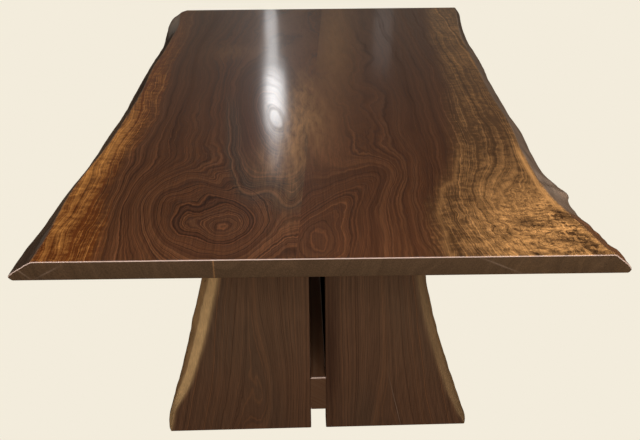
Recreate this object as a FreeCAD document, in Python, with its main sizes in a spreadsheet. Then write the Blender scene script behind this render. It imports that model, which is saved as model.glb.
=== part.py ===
import FreeCAD, Part
import math
import os

import Sketcher
from FreeCAD import Vector

# A live-edge dining table: a slab top of two glued boards on two pedestals, each of two upright
# planks that keep their natural outer edges, tied together by one low stretcher.
# Z is up, Y runs along the table with the near end at -Y, and the origin is on the floor under
# the middle of the top. All lengths are millimetres and all angles are degrees.

# Driving sizes: name, value, meaning
SIZES = (
    ("table_height", 737, "floor to the upper face of the top"),
    ("top_length", 1829, "between the sawn ends, along the middle"),
    ("top_width", 1118, "reference width of the top, which the edge shares refer to"),
    ("top_thickness", 38, "thickness of both boards"),
    ("end_skew", 1, "angle by which the sawn ends lean away from square"),
    ("end_arris", 2, "rounding of the sawn ends"),
    ("spline_depth", 50, "size of a loose spline across the glue line"),
    ("spline_thickness", 10, "thickness of a loose spline"),
    ("spline_inset", 65, "sawn end of the top to the nearest spline"),
    ("spline_bolt_gap", 60, "middle of a batten to the splines on both sides of it"),
    ("pedestal_spread", 1046, "between the outer faces of the two pedestals"),
    ("foot_reach", 388, "half the width of a pedestal at the floor"),
    ("plank_thickness", 44, "thickness of an upright plank"),
    ("plank_arris", 3, "rounding of a plank's straight inner edges"),
    ("stretcher_thickness", 38, "thickness of the stretcher and gap between two planks"),
    ("stretcher_height", 100, "height of the stretcher's section"),
    ("stretcher_rise", 62, "floor to the underside of the stretcher"),
    ("stretcher_arris", 3, "rounding of the stretcher's edges"),
    ("dowel_diameter", 12, "dowel through the stretcher"),
    ("dowel_length", 110, "length of that dowel"),
    ("dowel_spacing", 50, "height between the two dowels of a joint"),
    ("dowel_end_gap", 2, "glue room past each end of a dowel"),
    ("cleat_width", 110, "batten under the top, along the table"),
    ("cleat_thickness", 45, "thickness of the batten"),
    ("cleat_taper", 70, "length of the batten's tapered ends"),
    ("cleat_tip", 22, "thickness left at the batten's tips"),
    ("tenon_width", 150, "stub tenon on top of a plank, across the table"),
    ("tenon_thickness", 20, "stub tenon, along the table"),
    ("tenon_inset", 40, "plank's inner edge to its tenon"),
    ("mortise_roof", 14, "wood left over a mortise"),
    ("mortise_gap", 1, "glue room above a tenon"),
    ("peg_diameter", 10, "peg through the batten and a tenon"),
    ("fit_gap", 0.1, "working clearance round a spline, tenon, pin or bolt"),
    ("bolt_diameter", 8, "bolt from the batten into the top"),
    ("bolt_bite", 13, "how far a bolt reaches into its insert"),
    ("head_width", 15, "hexagon head of the bolt, across its corners"),
    ("head_height", 5.3, "height of that head"),
    ("washer_width", 24, "side of the square washer under the bolt's head"),
    ("washer_thickness", 2, "thickness of the washer"),
    ("insert_diameter", 12, "threaded insert in the top"),
    ("insert_length", 20, "length of the insert"),
    ("insert_gap", 4, "room in the top over an insert"),
    ("bolt_clear", 31, "upper corner of a plank to the nearest outer bolt"),
    ("bolt_margin", 35, "outer bolt to the tapered end of the batten"),
    ("slot_travel", 10, "how far an outer bolt can slide as the top swells and shrinks"),
    ("overrun", 30, "how far a cutting shape runs past what it cuts"),
)

# Live edges of the top, from the near end to the far end. Each station gives its place along the
# top as a share of half the length, then how far out the upper face and the outermost line reach
# there, as shares of half the width.
LEFT_EDGE_SHARES = (
    (-1.04, 0.912, 0.993),
    (-1.00, 0.909, 0.990),
    (-0.92, 0.901, 0.982),
    (-0.80, 0.902, 0.962),
    (-0.69, 0.900, 0.949),
    (-0.59, 0.886, 0.934),
    (-0.47, 0.862, 0.914),
    (-0.33, 0.845, 0.906),
    (-0.15, 0.830, 0.886),
    (0.05, 0.824, 0.883),
    (0.25, 0.827, 0.876),
    (0.43, 0.809, 0.869),
    (0.55, 0.806, 0.859),
    (0.68, 0.799, 0.870),
    (0.80, 0.803, 0.884),
    (0.89, 0.818, 0.891),
    (0.945, 0.824, 0.891),
    (0.98, 0.812, 0.885),
    (1.00, 0.788, 0.868),
    (1.02, 0.755, 0.840),
)
RIGHT_EDGE_SHARES = (
    (-1.04, 0.945, 0.985),
    (-1.00, 0.930, 0.984),
    (-0.97, 0.908, 0.986),
    (-0.935, 0.896, 0.978),
    (-0.912, 0.891, 0.961),
    (-0.885, 0.884, 0.957),
    (-0.85, 0.870, 0.948),
    (-0.80, 0.853, 0.932),
    (-0.745, 0.836, 0.922),
    (-0.70, 0.829, 0.927),
    (-0.66, 0.828, 0.944),
    (-0.61, 0.829, 0.915),
    (-0.52, 0.831, 0.898),
    (-0.40, 0.845, 0.905),
    (-0.285, 0.857, 0.918),
    (-0.18, 0.857, 0.913),
    (-0.03, 0.858, 0.920),
    (0.13, 0.872, 0.926),
    (0.28, 0.884, 0.943),
    (0.43, 0.891, 0.952),
    (0.58, 0.903, 0.954),
    (0.72, 0.930, 0.970),
    (0.86, 0.962, 0.994),
    (0.94, 0.980, 1.012),
    (1.00, 0.990, 1.024),
    (1.04, 0.996, 1.030),
)
# Section of those edges, from the underside up: height as a share of the top's thickness, and how
# far out the edge has come from the upper face's reach to the outermost line's.
EDGE_SECTION_SHARES = (
    (0.00, 0.82),
    (0.08, 0.96),
    (0.22, 1.00),
    (0.42, 0.84),
    (0.72, 0.42),
    (1.00, 0.00),
)

# The glue line between the boards leans: its two ends, as shares of half the width.
SEAM_NEAR_SHARE = -0.079
SEAM_FAR_SHARE = 0.105
# How far past the middle a board's blank reaches before the glue line cuts it.
BLANK_PAST_SEAM_SHARE = 0.25

# How far out the widest plank reaches under its batten, as a share of the foot's reach.
PLANK_TOP_SHARE = 0.655
# Live edges of the planks, from below the floor line to above the batten. Each station gives its
# height as a share of the plank's height, then how far out the belly and the outer face reach
# there, as shares of the foot's reach.
LEFT_PLANK_SHARES = (
    (-0.03, 1.000, 0.990),
    (0.00, 1.000, 0.985),
    (0.05, 0.990, 0.965),
    (0.10, 0.968, 0.945),
    (0.15, 0.947, 0.898),
    (0.21, 0.914, 0.842),
    (0.29, 0.875, 0.788),
    (0.38, 0.833, 0.738),
    (0.47, 0.794, 0.694),
    (0.56, 0.755, 0.655),
    (0.67, 0.709, 0.606),
    (0.80, 0.674, 0.570),
    (1.00, PLANK_TOP_SHARE, 0.550),
    (1.03, 0.654, 0.549),
)
RIGHT_PLANK_SHARES = (
    (-0.03, 1.000, 0.985),
    (0.00, 0.995, 0.980),
    (0.05, 0.967, 0.934),
    (0.10, 0.940, 0.893),
    (0.15, 0.911, 0.855),
    (0.21, 0.876, 0.818),
    (0.29, 0.834, 0.773),
    (0.38, 0.787, 0.729),
    (0.47, 0.744, 0.685),
    (0.56, 0.706, 0.648),
    (0.67, 0.672, 0.613),
    (0.80, 0.645, 0.587),
    (1.00, 0.636, 0.577),
    (1.03, 0.635, 0.576),
)
# Section of those edges, from the outer face to the back: depth as a share of the plank's
# thickness, and how far out the edge has come from the outer face's reach to the belly's.
PLANK_SECTION_SHARES = ((0.00, 0.00), (0.30, 0.62), (0.70, 1.00), (1.00, 0.85))

# Sizes worked out from the driving ones
UNDERSIDE = "(Sizes.table_height - Sizes.top_thickness)"
CLEAT_LOW = f"({UNDERSIDE} - Sizes.cleat_thickness)"
MORTISE_DEPTH = "(Sizes.cleat_thickness - Sizes.mortise_roof)"
TENON_HEIGHT = f"({MORTISE_DEPTH} - Sizes.mortise_gap)"
MID_TENON = f"({CLEAT_LOW} + {TENON_HEIGHT} / 2)"
STRETCHER_MID = "(Sizes.stretcher_rise + Sizes.stretcher_height / 2)"
HALF_GAP = "(Sizes.stretcher_thickness / 2)"
PEDESTAL_REACH = "((Sizes.pedestal_spread - Sizes.plank_thickness) / 2)"
TENON_MIDDLE = f"({HALF_GAP} + Sizes.tenon_inset + Sizes.tenon_width / 2)"
BOLT_BORE = "(Sizes.bolt_diameter + 2 * Sizes.fit_gap)"
BOLT_LENGTH = "(Sizes.washer_thickness + Sizes.cleat_thickness + Sizes.bolt_bite)"
BOLT_REACH = f"({PLANK_TOP_SHARE} * Sizes.foot_reach + Sizes.bolt_clear)"
BOLT_PLACES = (f"-{BOLT_REACH}", "0", BOLT_REACH)
CLEAT_FLAT_END = f"({BOLT_REACH} + Sizes.bolt_margin)"
CLEAT_END = f"({CLEAT_FLAT_END} + Sizes.cleat_taper)"
INSERT_HOLE_DEPTH = "(Sizes.insert_length + Sizes.insert_gap)"
SPLINE_FIRST_END = f"({PEDESTAL_REACH} - Sizes.spline_bolt_gap)"
SPLINE_NEXT_END = f"({PEDESTAL_REACH} + Sizes.spline_bolt_gap)"
SPLINE_LAST_END = "(Sizes.top_length / 2 - Sizes.spline_inset)"
SEAM_RUN = f"({SEAM_FAR_SHARE - SEAM_NEAR_SHARE} * Sizes.top_width / 2)"
SEAM_MIDDLE = f"({(SEAM_FAR_SHARE + SEAM_NEAR_SHARE) / 2} * Sizes.top_width / 2)"
SEAM_TURN = f"(-atan({SEAM_RUN} / Sizes.top_length))"

doc = FreeCAD.newDocument("live_edge_table")
sheet = doc.addObject("Spreadsheet::Sheet", "Sizes")
for row, (alias, number, meaning) in enumerate(SIZES, start=1):
    sheet.set(f"A{row}", meaning)
    sheet.set(f"B{row}", str(number))
    sheet.setAlias(f"B{row}", alias)
doc.recompute()


def value(expression):
    """The number that an expression on the sheet gives."""
    return float(sheet.evalExpression(expression))


def turn_about(axis, angle):
    """A rotation about a named axis, as an expression."""
    directions = {"x": "vector(1; 0; 0)", "y": "vector(0; 1; 0)", "z": "vector(0; 0; 1)"}
    return f"rotation({directions[axis]}; {angle})"


def placed(x="0", y="0", z="0", turn=turn_about("z", "0")):
    """A placement, as an expression."""
    return f"placement(vector({x}; {y}; {z}); {turn})"


def block(name, sizes, place, turn="0", anchor_shares=(0.5, 0.5, 0)):
    """A box whose anchor point, given as shares of its three sizes, lies at the place."""
    box = doc.addObject("Part::Box", name)
    for prop, size in zip(("Length", "Width", "Height"), sizes):
        box.setExpression(prop, size)
    back = [f"-{share} * ({size})" for share, size in zip(anchor_shares, sizes)]
    box.setExpression("Placement", placed(*place, turn_about("z", turn)) + " * " + placed(*back))
    return box


def pin(name, diameter, length, place, along):
    """A round pin with its middle at the place."""
    turns = {"x": turn_about("y", "90"), "y": turn_about("x", "-90"), "z": turn_about("z", "0")}
    round_bar = doc.addObject("Part::Cylinder", name)
    round_bar.setExpression("Radius", f"({diameter}) / 2")
    round_bar.setExpression("Height", length)
    middle = placed(*place, turns[along])
    round_bar.setExpression("Placement", middle + " * " + placed(z=f"-({length}) / 2"))
    return round_bar


def hole(name, diameter, length, place, along):
    """The cutter for a pin's hole, with the working clearance all round."""
    return pin(name, f"{diameter} + 2 * Sizes.fit_gap", length, place, along)


def joined(kind, name, shapes):
    """A compound, common or fuse of several shapes."""
    whole = doc.addObject(kind, name)
    if kind == "Part::Compound":
        whole.Links = shapes
    else:
        whole.Shapes = shapes
    return whole


def cut(name, base, tools):
    """One shape less several others."""
    less = doc.addObject("Part::Cut", name)
    less.Base = base
    less.Tool = joined("Part::Compound", name + "_cutters", tools)
    return less


def copies(name, pattern, places):
    """One pattern piece, repeated at several places, as a group of separate solids."""
    links = []
    for number, place in enumerate(places, start=1):
        link = doc.addObject("App::Link", f"{name}_{number}")
        link.LinkedObject = pattern
        link.LinkTransform = False
        link.setExpression("Placement", placed(*place))
        links.append(link)
    return joined("Part::Compound", name, links)


def eased(name, base, radius, wanted):
    """A shape with the edges that pass the test rounded."""
    doc.recompute()
    rounded = doc.addObject("Part::Fillet", name)
    rounded.Base = base
    size = value(radius)
    edges = enumerate(base.Shape.Edges, start=1)
    rounded.Edges = [(number, size, size) for number, edge in edges if wanted(edge)]
    return rounded


def runs_along(edge, direction, within_angle=5):
    """Whether a straight edge runs along a direction, to a few degrees."""
    cosine = abs(edge.tangentAt(edge.FirstParameter).dot(direction))
    return cosine > math.cos(math.radians(within_angle))


# Sketches and solid features of a body


def base_plane(body, role):
    return next(plane for plane in body.Origin.OriginFeatures if plane.Role == role)


def new_sketch(body, name, role, offset="0"):
    """A sketch on one of the body's base planes, moved along the plane's normal."""
    sketch = body.newObject("Sketcher::SketchObject", name)
    sketch.AttachmentSupport = [(base_plane(body, role), "")]
    sketch.MapMode = "FlatFace"
    sketch.setExpression("AttachmentOffset.Base.z", offset)
    return sketch


def hold(sketch, geometry, point, x, y):
    """Ties a point of the sketch to two expressions, measured from the sketch's origin."""
    for kind, expression in (("DistanceX", x), ("DistanceY", y)):
        number = value(expression)
        rule = Sketcher.Constraint(kind, -1, 1, geometry, point, number)
        index = sketch.addConstraint(rule)
        sketch.setExpression(f"Constraints[{index}]", expression)


def draw_polygon(sketch, corners):
    """A closed outline of straight lines whose corners are pairs of expressions."""
    points = [Vector(value(x), value(y), 0) for x, y in corners]
    lines = []
    for start, end in zip(points, points[1:] + points[:1]):
        lines.append(sketch.addGeometry(Part.LineSegment(start, end), False))
    for line, following in zip(lines, lines[1:] + lines[:1]):
        sketch.addConstraint(Sketcher.Constraint("Coincident", line, 2, following, 1))
    for line, (x, y) in zip(lines, corners):
        hold(sketch, line, 1, x, y)


def draw_rectangle(sketch, x, y, length, width):
    """A rectangle about a middle point."""
    low_x, high_x = f"{x} - {length} / 2", f"{x} + {length} / 2"
    low_y, high_y = f"{y} - {width} / 2", f"{y} + {width} / 2"
    draw_polygon(sketch, ((low_x, low_y), (high_x, low_y), (high_x, high_y), (low_x, high_y)))


def draw_circle(sketch, x, y, diameter):
    """A circle about a middle point."""
    radius = f"({diameter}) / 2"
    ring = Part.Circle(Vector(value(x), value(y), 0), Vector(0, 0, 1), value(radius))
    circle = sketch.addGeometry(ring, False)
    hold(sketch, circle, 3, x, y)
    index = sketch.addConstraint(Sketcher.Constraint("Radius", circle, value(radius)))
    sketch.setExpression(f"Constraints[{index}]", radius)


def pocket(body, name, sketch, depth, upwards=True):
    """Cuts a sketch into the body, and makes sure that the cut removed something."""
    doc.recompute()
    before = body.Shape.Volume
    feature = body.newObject("PartDesign::Pocket", name)
    feature.Profile = sketch
    feature.setExpression("Length", depth)
    feature.Reversed = upwards
    doc.recompute()
    if not body.Shape.Volume < before:
        raise RuntimeError(f"{name} cuts nothing")


def pad(body, name, sketch, length, both_ways=False):
    """Raises a sketch along its plane's normal, or equally to both sides of its plane."""
    feature = body.newObject("PartDesign::Pad", name)
    feature.Profile = sketch
    feature.setExpression("Length", length)
    feature.Midplane = both_ways


# The top


def edge_wire(name, points, corners):
    """A smooth curve through the points, closed by straight lines through the corners.

    The curve's stations set its parameters, so the curves of one loft match each other."""
    stations = [station for station, point in points]
    curve = Part.BSplineCurve()
    curve.interpolate(Points=[point for station, point in points], Parameters=stations)
    path = [points[-1][1]] + corners + [points[0][1]]
    lines = [Part.makeLine(start, end) for start, end in zip(path, path[1:])]
    wire = doc.addObject("Part::Feature", name)
    wire.Shape = Part.Wire([curve.toShape()] + lines)
    return wire


def loft(name, sections):
    """A solid through several closed wires, ruled from each to the next."""
    solid = doc.addObject("Part::Loft", name)
    solid.Sections = sections
    solid.Solid = True
    solid.Ruled = True
    return solid


def live_edge_block(name, side, shares):
    """A board's blank with its live edge, running past the sawn ends and the glue line."""
    half_width = value("Sizes.top_width / 2")
    half_length = value("Sizes.top_length / 2")
    lean = math.tan(math.radians(value("Sizes.end_skew")))
    thickness = value("Sizes.top_thickness")
    ends = (shares[-1][0], shares[0][0])

    def at(across, along, height):
        x = side * across * half_width
        return Vector(x, along * half_length - lean * x, value(UNDERSIDE) + height * thickness)

    sections = []
    for number, (height, out) in enumerate(EDGE_SECTION_SHARES, start=1):
        points = [
            (along, at(face + out * (tip - face), along, height)) for along, face, tip in shares
        ]
        corners = [at(-BLANK_PAST_SEAM_SHARE, along, height) for along in ends]
        sections.append(edge_wire(f"{name}_section_{number}", points, corners))
    return loft(name, sections)


def splines(name, gap):
    """The loose splines in the glue line, or with a gap all round the cutters of their grooves.

    One lies between the battens and one beyond each of them, clear of the middle bolts."""
    stretches = (
        (f"-{SPLINE_LAST_END}", f"-{SPLINE_NEXT_END}"),
        (f"-{SPLINE_FIRST_END}", SPLINE_FIRST_END),
        (SPLINE_NEXT_END, SPLINE_LAST_END),
    )
    depth = f"Sizes.spline_depth + 2 * {gap}"
    thickness = f"Sizes.spline_thickness + 2 * {gap}"
    mid_height = f"{UNDERSIDE} + Sizes.top_thickness / 2"
    pieces = []
    for number, (start, end) in enumerate(stretches, start=1):
        length = f"{end} - {start} + 2 * {gap}"
        along = f"({start} + {end}) / 2"
        place = (f"{SEAM_MIDDLE} + {along} * {SEAM_RUN} / Sizes.top_length", along, mid_height)
        sizes = (depth, length, thickness)
        pieces.append(block(f"{name}_{number}", sizes, place, SEAM_TURN, (0.5, 0.5, 0.5)))
    return joined("Part::Compound", name, pieces)


def insert_holes(side):
    """Cutters for the threaded inserts over one batten, placed with its pedestal."""
    holes = []
    for number, x in enumerate(BOLT_PLACES, start=1):
        place = (x, "0", f"{UNDERSIDE} + {INSERT_HOLE_DEPTH} / 2")
        name = f"{side}_insert_hole_{number}"
        holes.append(hole(name, "Sizes.insert_diameter", INSERT_HOLE_DEPTH, place, "z"))
    return stand(joined("Part::Compound", f"{side}_insert_holes", holes), side)


def top_board(name, side, shares, holes):
    """One board: its live edge, the sawn ends, the glue line, and its grooves and holes."""
    across = "Sizes.top_width + 2 * Sizes.overrun"
    along = "Sizes.top_length * cos(Sizes.end_skew)"
    upright = "Sizes.top_thickness"
    blank = block(name + "_blank", (across, along, upright), ("0", "0", UNDERSIDE), "-Sizes.end_skew")
    level_across = Vector(1, 0, 0)
    sawn = eased(name + "_sawn", blank, "Sizes.end_arris", lambda e: runs_along(e, level_across))
    half = block(
        name + "_side",
        (across, "Sizes.top_length * 2", f"{upright} + 2 * Sizes.overrun"),
        (SEAM_MIDDLE, "0", f"{UNDERSIDE} - Sizes.overrun"),
        SEAM_TURN,
        (1 if side < 0 else 0, 0.5, 0),
    )
    live = live_edge_block(name + "_live", side, shares)
    solid = joined("Part::MultiCommon", name + "_solid", [sawn, half, live])
    return cut(name, solid, holes)


def build_top():
    cutters = [splines("seam_grooves", "Sizes.fit_gap")]
    cutters += [insert_holes(side) for side in ("near", "far")]
    left = top_board("top_board_left", -1, LEFT_EDGE_SHARES, cutters)
    right = top_board("top_board_right", 1, RIGHT_EDGE_SHARES, cutters)
    return [left, right, splines("seam_splines", "0")]


# The pedestals. Each is laid out about its own middle with its outer face towards -Y, and then
# stood in its place: the far one is the near one turned half way round.


def stand(piece, side):
    """Stands a piece of a pedestal at the near or the far end."""
    if side == "near":
        piece.setExpression("Placement", placed(y=f"-{PEDESTAL_REACH}"))
    else:
        piece.setExpression("Placement", placed(y=PEDESTAL_REACH, turn=turn_about("z", "180")))
    return piece


def dowel_heights():
    return [f"{STRETCHER_MID} {sign} Sizes.dowel_spacing / 2" for sign in ("-", "+")]


def live_plank_block(name, hand, shares):
    """A plank's blank with its live edge, running past its foot, its top and its inner edge."""
    reach = value("Sizes.foot_reach")
    plank_height = value(CLEAT_LOW)
    thickness = value("Sizes.plank_thickness")
    ends = (shares[-1][0], shares[0][0])

    def at(across, depth, height):
        return Vector(hand * across * reach, (depth - 0.5) * thickness, height * plank_height)

    sections = []
    for number, (depth, out) in enumerate(PLANK_SECTION_SHARES, start=1):
        points = [
            (height, at(face + out * (belly - face), depth, height)) for height, belly, face in shares
        ]
        corners = [at(0, depth, height) for height in ends]
        sections.append(edge_wire(f"{name}_section_{number}", points, corners))
    return loft(name, sections)


def plank(side, name, hand, shares):
    """An upright plank with its live edge, a tenon on top, and its peg and dowel holes."""
    label = f"{side}_plank_{name}"
    thickness = "Sizes.plank_thickness"
    blank = block(
        label + "_blank",
        ("Sizes.foot_reach + Sizes.overrun", thickness, CLEAT_LOW),
        (f"{hand} * {HALF_GAP}", "0", "0"),
        anchor_shares=(0 if hand > 0 else 1, 0.5, 0),
    )
    inner_x = hand * value(HALF_GAP)
    upright = Vector(0, 0, 1)

    def inner_edge(edge):
        on_inner_face = abs(edge.CenterOfMass.x - inner_x) < value("Sizes.fit_gap")
        return on_inner_face and runs_along(edge, upright)

    sawn = eased(label + "_sawn", blank, "Sizes.plank_arris", inner_edge)
    live = live_plank_block(label + "_live", hand, shares)
    body = joined("Part::MultiCommon", label + "_solid", [sawn, live])
    tenon_sizes = ("Sizes.tenon_width", "Sizes.tenon_thickness", TENON_HEIGHT)
    tenon_x = f"{hand} * {TENON_MIDDLE}"
    tenon = block(label + "_tenon", tenon_sizes, (tenon_x, "0", CLEAT_LOW))
    whole = joined("Part::MultiFuse", label + "_whole", [body, tenon])
    holes = [hole(label + "_peg_hole", "Sizes.peg_diameter", thickness, (tenon_x, "0", MID_TENON), "y")]
    hole_length = "(Sizes.dowel_length + 2 * Sizes.dowel_end_gap)"
    for number, height in enumerate(dowel_heights(), start=1):
        place = ("0", "0", height)
        drilled = hole(f"{label}_dowel_hole_{number}", "Sizes.dowel_diameter", hole_length, place, "x")
        holes.append(drilled)
    return stand(cut(label, whole, holes), side)


def cleat(side):
    """The batten: tapered ends, two mortises from below, bolt holes, and peg holes."""
    label = f"{side}_cleat"
    body = doc.addObject("PartDesign::Body", label)
    tip = f"({UNDERSIDE} - Sizes.cleat_tip)"
    profile = new_sketch(body, label + "_profile", "XZ_Plane")
    draw_polygon(
        profile,
        (
            (f"-{CLEAT_FLAT_END}", CLEAT_LOW),
            (CLEAT_FLAT_END, CLEAT_LOW),
            (CLEAT_END, tip),
            (CLEAT_END, UNDERSIDE),
            (f"-{CLEAT_END}", UNDERSIDE),
            (f"-{CLEAT_END}", tip),
        ),
    )
    pad(body, label + "_pad", profile, "Sizes.cleat_width", both_ways=True)

    mortises = new_sketch(body, label + "_mortise_outlines", "XY_Plane", CLEAT_LOW)
    length = "(Sizes.tenon_width + 2 * Sizes.fit_gap)"
    width = "(Sizes.tenon_thickness + 2 * Sizes.fit_gap)"
    for middle in (TENON_MIDDLE, f"-{TENON_MIDDLE}"):
        draw_rectangle(mortises, middle, "0", length, width)
    pocket(body, label + "_mortises", mortises, MORTISE_DEPTH)

    # The middle bolt is held all round. The outer ones can slide in slots as the top moves.
    bores = new_sketch(body, label + "_bolt_outlines", "XY_Plane", CLEAT_LOW)
    for x in BOLT_PLACES:
        if x == "0":
            draw_circle(bores, x, "0", BOLT_BORE)
        else:
            draw_rectangle(bores, x, "0", f"({BOLT_BORE} + Sizes.slot_travel)", BOLT_BORE)
    pocket(body, label + "_bolt_holes", bores, "Sizes.cleat_thickness")

    pegs = new_sketch(body, label + "_peg_outlines", "XZ_Plane", "-Sizes.cleat_width / 2")
    for middle in (TENON_MIDDLE, f"-{TENON_MIDDLE}"):
        draw_circle(pegs, middle, MID_TENON, "Sizes.peg_diameter + 2 * Sizes.fit_gap")
    pocket(body, label + "_peg_holes", pegs, "Sizes.cleat_width")
    return stand(body, side)


def pegs_of(side):
    """The pegs that lock the tenons, flush with both faces of the batten."""
    label = f"{side}_cleat_pegs"
    pegs = []
    for number, x in enumerate((TENON_MIDDLE, f"-{TENON_MIDDLE}"), start=1):
        place = (x, "0", MID_TENON)
        pegs.append(pin(f"{label}_{number}", "Sizes.peg_diameter", "Sizes.cleat_width", place, "y"))
    return stand(joined("Part::Compound", label, pegs), side)


def dowels_of(side):
    """The dowels that cross the end of the stretcher and enter both planks."""
    label = f"{side}_stretcher_dowels"
    dowels = []
    for number, height in enumerate(dowel_heights(), start=1):
        place = ("0", "0", height)
        dowels.append(pin(f"{label}_{number}", "Sizes.dowel_diameter", "Sizes.dowel_length", place, "x"))
    return stand(joined("Part::Compound", label, dowels), side)


def bolt():
    """A hexagon bolt with its head below the origin and its shank above."""
    body = doc.addObject("PartDesign::Body", "bolt")
    head = new_sketch(body, "head_outline", "XY_Plane", "-Sizes.head_height")
    corners = []
    for corner in range(6):
        angle = corner * 60
        half = "Sizes.head_width / 2"
        corners.append((f"{half} * cos({angle})", f"{half} * sin({angle})"))
    draw_polygon(head, corners)
    pad(body, "head", head, "Sizes.head_height")
    shank = new_sketch(body, "shank_outline", "XY_Plane")
    draw_circle(shank, "0", "0", "Sizes.bolt_diameter")
    pad(body, "shank", shank, BOLT_LENGTH)
    return body


def washer():
    """A square plate washer, standing on its lower face."""
    body = doc.addObject("PartDesign::Body", "washer")
    outline = new_sketch(body, "washer_outline", "XY_Plane")
    draw_rectangle(outline, "0", "0", "Sizes.washer_width", "Sizes.washer_width")
    draw_circle(outline, "0", "0", BOLT_BORE)
    pad(body, "washer_plate", outline, "Sizes.washer_thickness")
    return body


def insert():
    """A threaded insert, standing on its lower face."""
    body = doc.addObject("PartDesign::Body", "insert")
    outline = new_sketch(body, "insert_outline", "XY_Plane")
    draw_circle(outline, "0", "0", "Sizes.insert_diameter")
    draw_circle(outline, "0", "0", BOLT_BORE)
    pad(body, "insert_sleeve", outline, "Sizes.insert_length")
    return body


def fasteners_of(side, patterns):
    """The bolts, washers and threaded inserts that hold the top on one batten."""
    washer_low = f"{CLEAT_LOW} - Sizes.washer_thickness"
    seats = {"cleat_bolts": washer_low, "cleat_washers": washer_low, "top_inserts": UNDERSIDE}
    groups = []
    for kind, height in seats.items():
        places = [(x, "0", height) for x in BOLT_PLACES]
        groups.append(stand(copies(f"{side}_{kind}", patterns[kind], places), side))
    return groups


def stretcher():
    """The rail between the pedestals, flush with their outer faces, drilled for its dowels."""
    sizes = ("Sizes.stretcher_thickness", "Sizes.pedestal_spread", "Sizes.stretcher_height")
    rail = block("stretcher_rail", sizes, ("0", "0", "Sizes.stretcher_rise"))
    along = Vector(0, 1, 0)
    rounded = eased(
        "stretcher_eased", rail, "Sizes.stretcher_arris", lambda edge: runs_along(edge, along)
    )
    through = "Sizes.stretcher_thickness + 2 * Sizes.overrun"
    bores = []
    for side in ("near", "far"):
        drills = []
        for number, height in enumerate(dowel_heights(), start=1):
            place = ("0", "0", height)
            name = f"{side}_stretcher_drill_{number}"
            drills.append(hole(name, "Sizes.dowel_diameter", through, place, "x"))
        bores.append(stand(joined("Part::Compound", f"{side}_stretcher_bores", drills), side))
    return cut("stretcher", rounded, bores)


def build_pedestals():
    patterns = {"cleat_bolts": bolt(), "cleat_washers": washer(), "top_inserts": insert()}
    pieces = []
    for side in ("near", "far"):
        hands = (("left", -1, LEFT_PLANK_SHARES), ("right", 1, RIGHT_PLANK_SHARES))
        if side == "far":
            hands = (("right", -1, LEFT_PLANK_SHARES), ("left", 1, RIGHT_PLANK_SHARES))
        pieces += [plank(side, name, hand, shares) for name, hand, shares in hands]
        pieces += [cleat(side), pegs_of(side), dowels_of(side)]
        pieces += fasteners_of(side, patterns)
    return pieces


def write_parts(pieces):
    """Checks every object and every sub-part, and then writes one file for each sub-part."""
    doc.recompute()
    for thing in doc.Objects:
        if {"Invalid", "Error"} & set(thing.State):
            raise RuntimeError(f"{thing.Name} failed: {thing.State}")
    for piece in pieces:
        if piece.Shape.isNull() or not piece.Shape.isValid() or not piece.Shape.Solids:
            raise RuntimeError(f"{piece.Label} has no sound shape")
    os.makedirs("parts", exist_ok=True)
    for piece in pieces:
        piece.Shape.exportStep(os.path.join("parts", piece.Label + ".step"))
        print(piece.Label, len(piece.Shape.Solids), round(piece.Shape.Volume))


write_parts(build_top() + [stretcher()] + build_pedestals())
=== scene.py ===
"""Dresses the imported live-edge dining table in figured black walnut, as an add-on with one operator
for each group of pieces. All lengths are metres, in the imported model's own frame: Z is up, Y runs
along the table with the near end at -Y, and the floor is at Z = 0."""

import math

import bmesh
import bpy
import numpy as np
from mathutils import Matrix, Vector, noise
from mathutils.bvhtree import BVHTree


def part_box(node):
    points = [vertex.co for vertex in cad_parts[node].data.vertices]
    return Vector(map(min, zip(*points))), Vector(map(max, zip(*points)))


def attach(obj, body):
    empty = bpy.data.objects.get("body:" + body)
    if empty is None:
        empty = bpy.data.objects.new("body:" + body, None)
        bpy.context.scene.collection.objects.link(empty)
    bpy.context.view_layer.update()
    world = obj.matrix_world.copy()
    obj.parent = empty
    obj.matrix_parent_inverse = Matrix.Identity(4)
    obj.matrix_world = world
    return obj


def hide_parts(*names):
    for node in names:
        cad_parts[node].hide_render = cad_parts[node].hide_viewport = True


bl_info = {
    "name": "Live-edge dining table",
    "version": (1, 0, 0),
    "blender": (4, 5, 0),
    "location": "3D View > Sidebar > Table",
    "description": "Dresses a packed live-edge table in figured walnut and lights it",
    "category": "Add Mesh",
}

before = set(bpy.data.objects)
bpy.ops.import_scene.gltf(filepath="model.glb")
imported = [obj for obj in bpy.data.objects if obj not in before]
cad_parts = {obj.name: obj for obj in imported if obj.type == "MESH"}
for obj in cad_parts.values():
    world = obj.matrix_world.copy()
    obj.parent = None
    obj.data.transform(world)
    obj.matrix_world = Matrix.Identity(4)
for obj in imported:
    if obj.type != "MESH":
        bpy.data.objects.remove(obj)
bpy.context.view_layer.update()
BODY = "root"
MM = 0.001
ENDLESS = 1000.0

ALONG = Vector((0, 1, 0))
ACROSS = Vector((1, 0, 0))
UP = Vector((0, 0, 1))

TOP_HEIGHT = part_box("top_board_left")[1].z
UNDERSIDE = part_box("top_board_left")[0].z
NEAR_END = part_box("top_board_left")[0].y
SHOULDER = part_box("near_cleat")[0].z
# Where the stretcher's upper end arris lies, which gets a painted highlight.
ARRIS_HIGHLIGHT_PLACE = (0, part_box("stretcher")[0].y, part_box("stretcher")[1].z)


# Settings that a user would change


def length(name, default, description):
    """A length property, in metres."""
    return bpy.props.FloatProperty(
        name=name, description=description, default=default, subtype="DISTANCE", unit="LENGTH"
    )


def share(name, default, description):
    """A property from 0 to 1."""
    return bpy.props.FloatProperty(
        name=name, description=description, default=default, min=0, max=1, subtype="FACTOR"
    )


def amount(name, default, description):
    """A plain number property."""
    return bpy.props.FloatProperty(name=name, description=description, default=default)


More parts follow.
